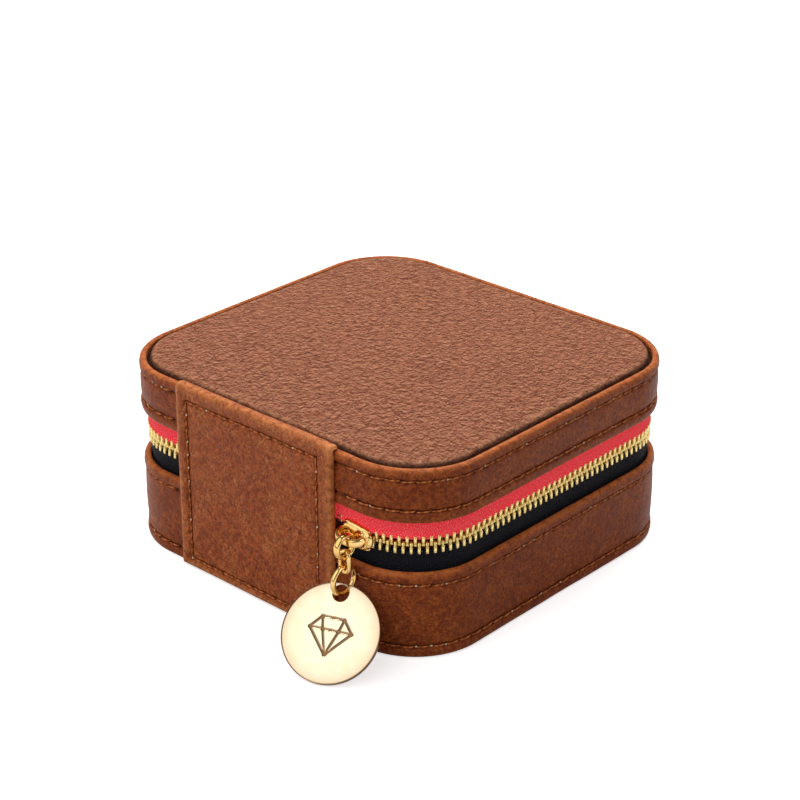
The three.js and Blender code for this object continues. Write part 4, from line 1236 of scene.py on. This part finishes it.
# %% Inside finishes
def suede_cloth():
    """Flocked suede cloth: a short pile, so it has a soft sheen and brushed clouds of tone."""
    made, tree, output = new_material("suede_cloth")
    place_on = add(tree, "TexCoord").outputs["Object"]
    brushed = add(tree, "TexNoise", {"Vector": place_on, "Scale": per(7), "Detail": 4, "Distortion": 0.6})
    pile = add(tree, "TexNoise", {"Vector": place_on, "Scale": per(0.35), "Detail": 2}).outputs["Fac"]
    share = add(tree, "MapRange", {0: brushed.outputs["Fac"], 1: 0.35, 2: 0.65}).outputs[0]
    tone = add(tree, "Mix", {0: share, 6: colour("#c9b596"), 7: colour("#dccbb0")},
               data_type="RGBA").outputs[2]
    bump = add(tree, "Bump", {"Height": pile, "Strength": 0.6, "Distance": 0.08 * MM}).outputs[0]
    shader = add(tree, "BsdfPrincipled", {"Base Color": tone, "Roughness": 0.95, "Normal": bump,
                                          "Sheen Weight": 0.5, "Sheen Roughness": 0.4})
    tree.links.new(shader.outputs[0], output.inputs[0])
    return made


def grey_board():
    """Pressed grey fibreboard: pulp, so it is matt, with flecks of darker fibre."""
    made, tree, output = new_material("grey_board")
    place_on = add(tree, "TexCoord").outputs["Object"]
    pulp = add(tree, "TexNoise", {"Vector": place_on, "Scale": per(0.6), "Detail": 5, "Distortion": 1})
    tone = add(tree, "Mix", {0: pulp.outputs["Fac"], 6: colour("#6d655a"), 7: colour("#a0978a")},
               data_type="RGBA").outputs[2]
    bump = add(tree, "Bump", {"Height": pulp.outputs["Fac"], "Strength": 0.5, "Distance": 0.1 * MM})
    shader = add(tree, "BsdfPrincipled", {"Base Color": tone, "Roughness": 0.9,
                                          "Normal": bump.outputs[0]})
    tree.links.new(shader.outputs[0], output.inputs[0])
    return made


def open_foam():
    """Cut polyether foam: open cells half a millimetre wide, seen as pits."""
    made, tree, output = new_material("open_foam")
    place_on = add(tree, "TexCoord").outputs["Object"]
    cells = add(tree, "TexVoronoi", {"Vector": place_on, "Scale": per(0.5)}).outputs["Distance"]
    tone = add(tree, "Mix", {0: cells, 6: colour("#d8d3c4"), 7: colour("#f1eee4")},
               data_type="RGBA").outputs[2]
    bump = add(tree, "Bump", {"Height": cells, "Strength": 0.6, "Distance": 0.2 * MM}).outputs[0]
    shader = add(tree, "BsdfPrincipled", {"Base Color": tone, "Roughness": 0.95, "Normal": bump})
    tree.links.new(shader.outputs[0], output.inputs[0])
    return made


def silvered_glass():
    """Silvered glass: a clean mirror, with the faintest smears left by wiping."""
    made, tree, output = new_material("silvered_glass")
    place_on = add(tree, "TexCoord").outputs["Object"]
    smear = add(tree, "TexNoise", {"Vector": place_on, "Scale": per(12), "Detail": 3, "Distortion": 2})
    dull = add(tree, "MapRange", {0: smear.outputs["Fac"], 1: 0.4, 2: 0.8, 3: 0.02, 4: 0.07}).outputs[0]
    shader = add(tree, "BsdfPrincipled", {"Base Color": colour("#e3e8ea"), "Metallic": 1,
                                          "Roughness": dull})
    tree.links.new(shader.outputs[0], output.inputs[0])
    return made


suede = suede_cloth()
board = grey_board()
foam = open_foam()
mirror_silver = silvered_glass()
print("inside finishes:", suede.name, board.name, foam.name, mirror_silver.name)


# %% Linings, foam and underside
last_ring = 16.5  # inset of the innermost ring, inside which a flat face closes the body


def ring_body(name, inset, z, finish, stations=400, capped=True, wave=None, flat=False):
    """A profile of (inset, z) points carried round the path. Capped, its first and last rings are
    each closed by a flat face, mostly at `last_ring`; uncapped, the profile closes on itself."""
    along = np.linspace(0, girth, stations, endpoint=False)[:, None]
    inset, z = np.asarray(inset, float)[None], np.asarray(z, float)[None]
    points = on_wall(along, inset if wave is None else inset + wave(along, z), z)
    columns = inset.size
    faces = [grid_faces(stations, columns, True, not capped)]
    if capped:
        ring = np.arange(stations) * columns
        faces.append(np.stack([ring, ring[::-1] + columns - 1]))
    return make_piece(name, points, faces, finish, flat)


def bend(inset, z, radius, start, end, count=6):
    """A round corner of a profile, as (inset, z) arrays, about a centre from one angle to another."""
    a = np.radians(np.linspace(start, end, count))
    return inset + radius * np.cos(a), z + radius * np.sin(a)


def lining(name, node, floor, rim, board_inset, up):
    """A lining tray: its floor, a rounded fillet, the wall and a lip folded over the board. `up` is 1
    for the base and -1 for the lid, whose tray is the same shape upside down."""
    thick = 0.8
    outer = half_x - box_of(node)[1][0]
    inner = outer + thick
    turn_in, turn_up = bend(inner + 1.3, floor + up * 1.3, 1.3, -90 * up, -180 * up)
    lip_in, lip_up = bend(inner - 0.5, rim - up * 0.5, 0.5, 0, 90 * up)
    inset = np.concatenate([[last_ring, 9], turn_in, [inner, inner], lip_in,
                            [board_inset + 0.2, board_inset], [board_inset, outer, outer],
                            [outer, outer + 0.6, 9, last_ring]])
    z = np.concatenate([[floor, floor], turn_up, [floor + up * 4, rim - up * 3], lip_up,
                        [rim, rim - up * 0.1], [rim - up * 0.3, rim - up * 0.32, rim - up * 2],
                        [floor, floor - up * thick, floor - up * thick, floor - up * thick]])
    return ring_body(name, inset, z, suede, wave=lambda s, h: 0.07 * rough(s, h, girth / 24, 81, 24))


base_lining = lining("base_suede_lining", "base_lining", 4.15, 21.45, 2.5, 1)
place(base_lining, "base", "lining_suede", "base_lining")
lid_lining = lining("lid_suede_lining", "lid_lining", 41.15, 33.85, 2.5, -1)
place(lid_lining, "lid", "lining_suede", "lid_lining")

foam_low, foam_high = box_of("lid_foam_pad")
foam_inset = half_x - foam_high[0]
side_in, side_up = bend(foam_inset + 0.6, (foam_low[2] + foam_high[2]) / 2, 0.6, -90, -270, 9)
foam_pad = ring_body("lid_foam", np.concatenate([[last_ring, 9], side_in, [9, last_ring]]),
                     np.concatenate([[foam_low[2]] * 2, side_up, [foam_high[2]] * 2]), foam)
place(foam_pad, "lid", "foam", "lid_foam_pad")

under_inset = half_x - box_of("base_bottom_panel")[1][0]
turn_in, turn_up = bend(under_inset + 0.6, 0.68, 0.6, -90, -270, 9)
underside = ring_body("underside_leather", np.concatenate([[last_ring, 7], turn_in, [7, last_ring]]),
                      np.concatenate([[0.12, 0.1], turn_up, [1.3, 1.3]]), wall_leather)
place(underside, "base", "brown_leather", "base_bottom_panel")


# %% Ring rolls
def inner_reach(y, inset):
    """How far the space inside goes along X at each y, with its round corners."""
    r = corner - inset
    past = np.clip(np.abs(y) - reach_y, 0, r)
    return reach_x + np.sqrt(r ** 2 - past ** 2)


def padded_bar(name, node, finish, crown_part, seed, slack=0.12, ends=0.9):
    """A padded bar along X: its section is a rounded box with a full round top, its ends are domed,
    and the cloth is slack by a fraction of a millimetre in soft cross folds."""
    low, high = box_of(node)
    rings, sides = 150, 56
    a = np.linspace(0, 2 * math.pi, sides, endpoint=False)[None]
    t = np.linspace(-1, 1, rings)[:, None]
    c, s = np.cos(a), np.sin(a)
    square = np.where(s > 0, crown_part, 0.45)
    y_half, z_half = (high[1] - low[1]) / 2, (high[2] - low[2]) / 2
    dome = np.clip(np.clip(1 - np.abs(t) ** 26, 0, 1) ** 0.4, 0.12, 1)
    y = (low[1] + high[1]) / 2 + y_half * squared(c, square) * dome
    z = (low[2] + high[2]) / 2 + z_half * squared(s, square) * dome
    reach = np.minimum(inner_reach(y, 5.5), high[0]) - ends * (1 - dome)
    x = t * reach
    fold = slack * (rough(x, y * 0.3 + 50, 3.1, seed) + 0.6 * rough(x, y * 0.5, 1.6, seed + 1)) * (s > -0.3)
    y, z = y - fold * c, z - np.abs(fold) * np.maximum(s, 0)
    piece = make_piece(name, np.stack([x, y, z], -1), tube_faces(rings, sides), finish)
    place(piece, "base", "lining_suede", node)
    return piece


for k in range(1, 5):
    padded_bar(f"ring_roll_pad_{k}", f"ring_roll_{k}", suede, 0.92, 90 + 2 * k)


# %% Dividers
def wrapped_divider(name, node):
    """A board divider wrapped in cloth: a block with round edges."""
    low, high = box_of(node)
    piece = rounded_block(name, low, high, 0.75, suede, steps=7)
    place(piece, "base", "lining_suede", node)


wrapped_divider("long_divider", "divider_long")
wrapped_divider("cross_divider", "divider_cross")


# %% Mirror
def mirror():
    """Glass with a ground bevel, held by a leather frame that is a closed, squared round profile."""
    low, high = box_of("mirror_glass")
    glass_inset = half_x - high[0]
    middle = corner - 0.1
    inset = np.array([middle, glass_inset + 0.9, glass_inset, glass_inset, middle])
    z = np.array([low[2], low[2], low[2] + 0.35, high[2], high[2]])
    glass = ring_body("mirror_plate", inset, z, mirror_silver, flat=True)
    place(glass, "lid", "mirror", "mirror_glass")
    low, high = box_of("mirror_frame")
    outer = half_x - high[0]
    inner = glass_inset - 0.35
    a = np.linspace(0, 2 * math.pi, 40, endpoint=False)
    inset = (outer + inner) / 2 + (inner - outer) / 2 * squared(np.cos(a), 0.5)
    z = (low[2] + high[2]) / 2 + (high[2] - low[2]) / 2 * squared(np.sin(a), 0.5)
    frame_piece = ring_body("mirror_frame_leather", inset, z, wall_leather, stations=500, capped=False)
    place(frame_piece, "lid", "brown_leather", "mirror_frame")


mirror()


# %% Hinge lining
def hinge_lining():
    """A strip of the suede cloth glued behind the hinge panel, so that the open fold is covered."""
    half_wide, foot, top = 23.5, 21.7, 33.6
    outer_y, inner_y = 47.55, 47.2
    x = np.linspace(-half_wide, half_wide, 96)[None]
    z = np.linspace(foot, top, 40)[:, None]
    out = 0.04 * rough(x, z, 4, 97)
    front, back = (np.stack([x + 0 * z, y + out, z + 0 * x], -1) for y in (outer_y, inner_y))
    strip = slab("hinge_lining_strip", front, back, suede)
    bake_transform(strip, "base", "lid", start=fold_start, end=fold_end)


hinge_lining()

# %% [markdown]
# ## Boards
# The boards and the roll board are already the right shape in the CAD model, so they stay, and only
# take the board's finish.

# %% Board finish
for node in ("base_floor_board", "base_wall_board", "lid_top_board", "lid_wall_board", "ring_roll_board"):
    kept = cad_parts[node]
    kept.data.materials.clear()
    kept.data.materials.append(board)
hidden = [node for node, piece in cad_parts.items() if piece.hide_render]
print(len(hidden), "CAD nodes are stood for by fine pieces")
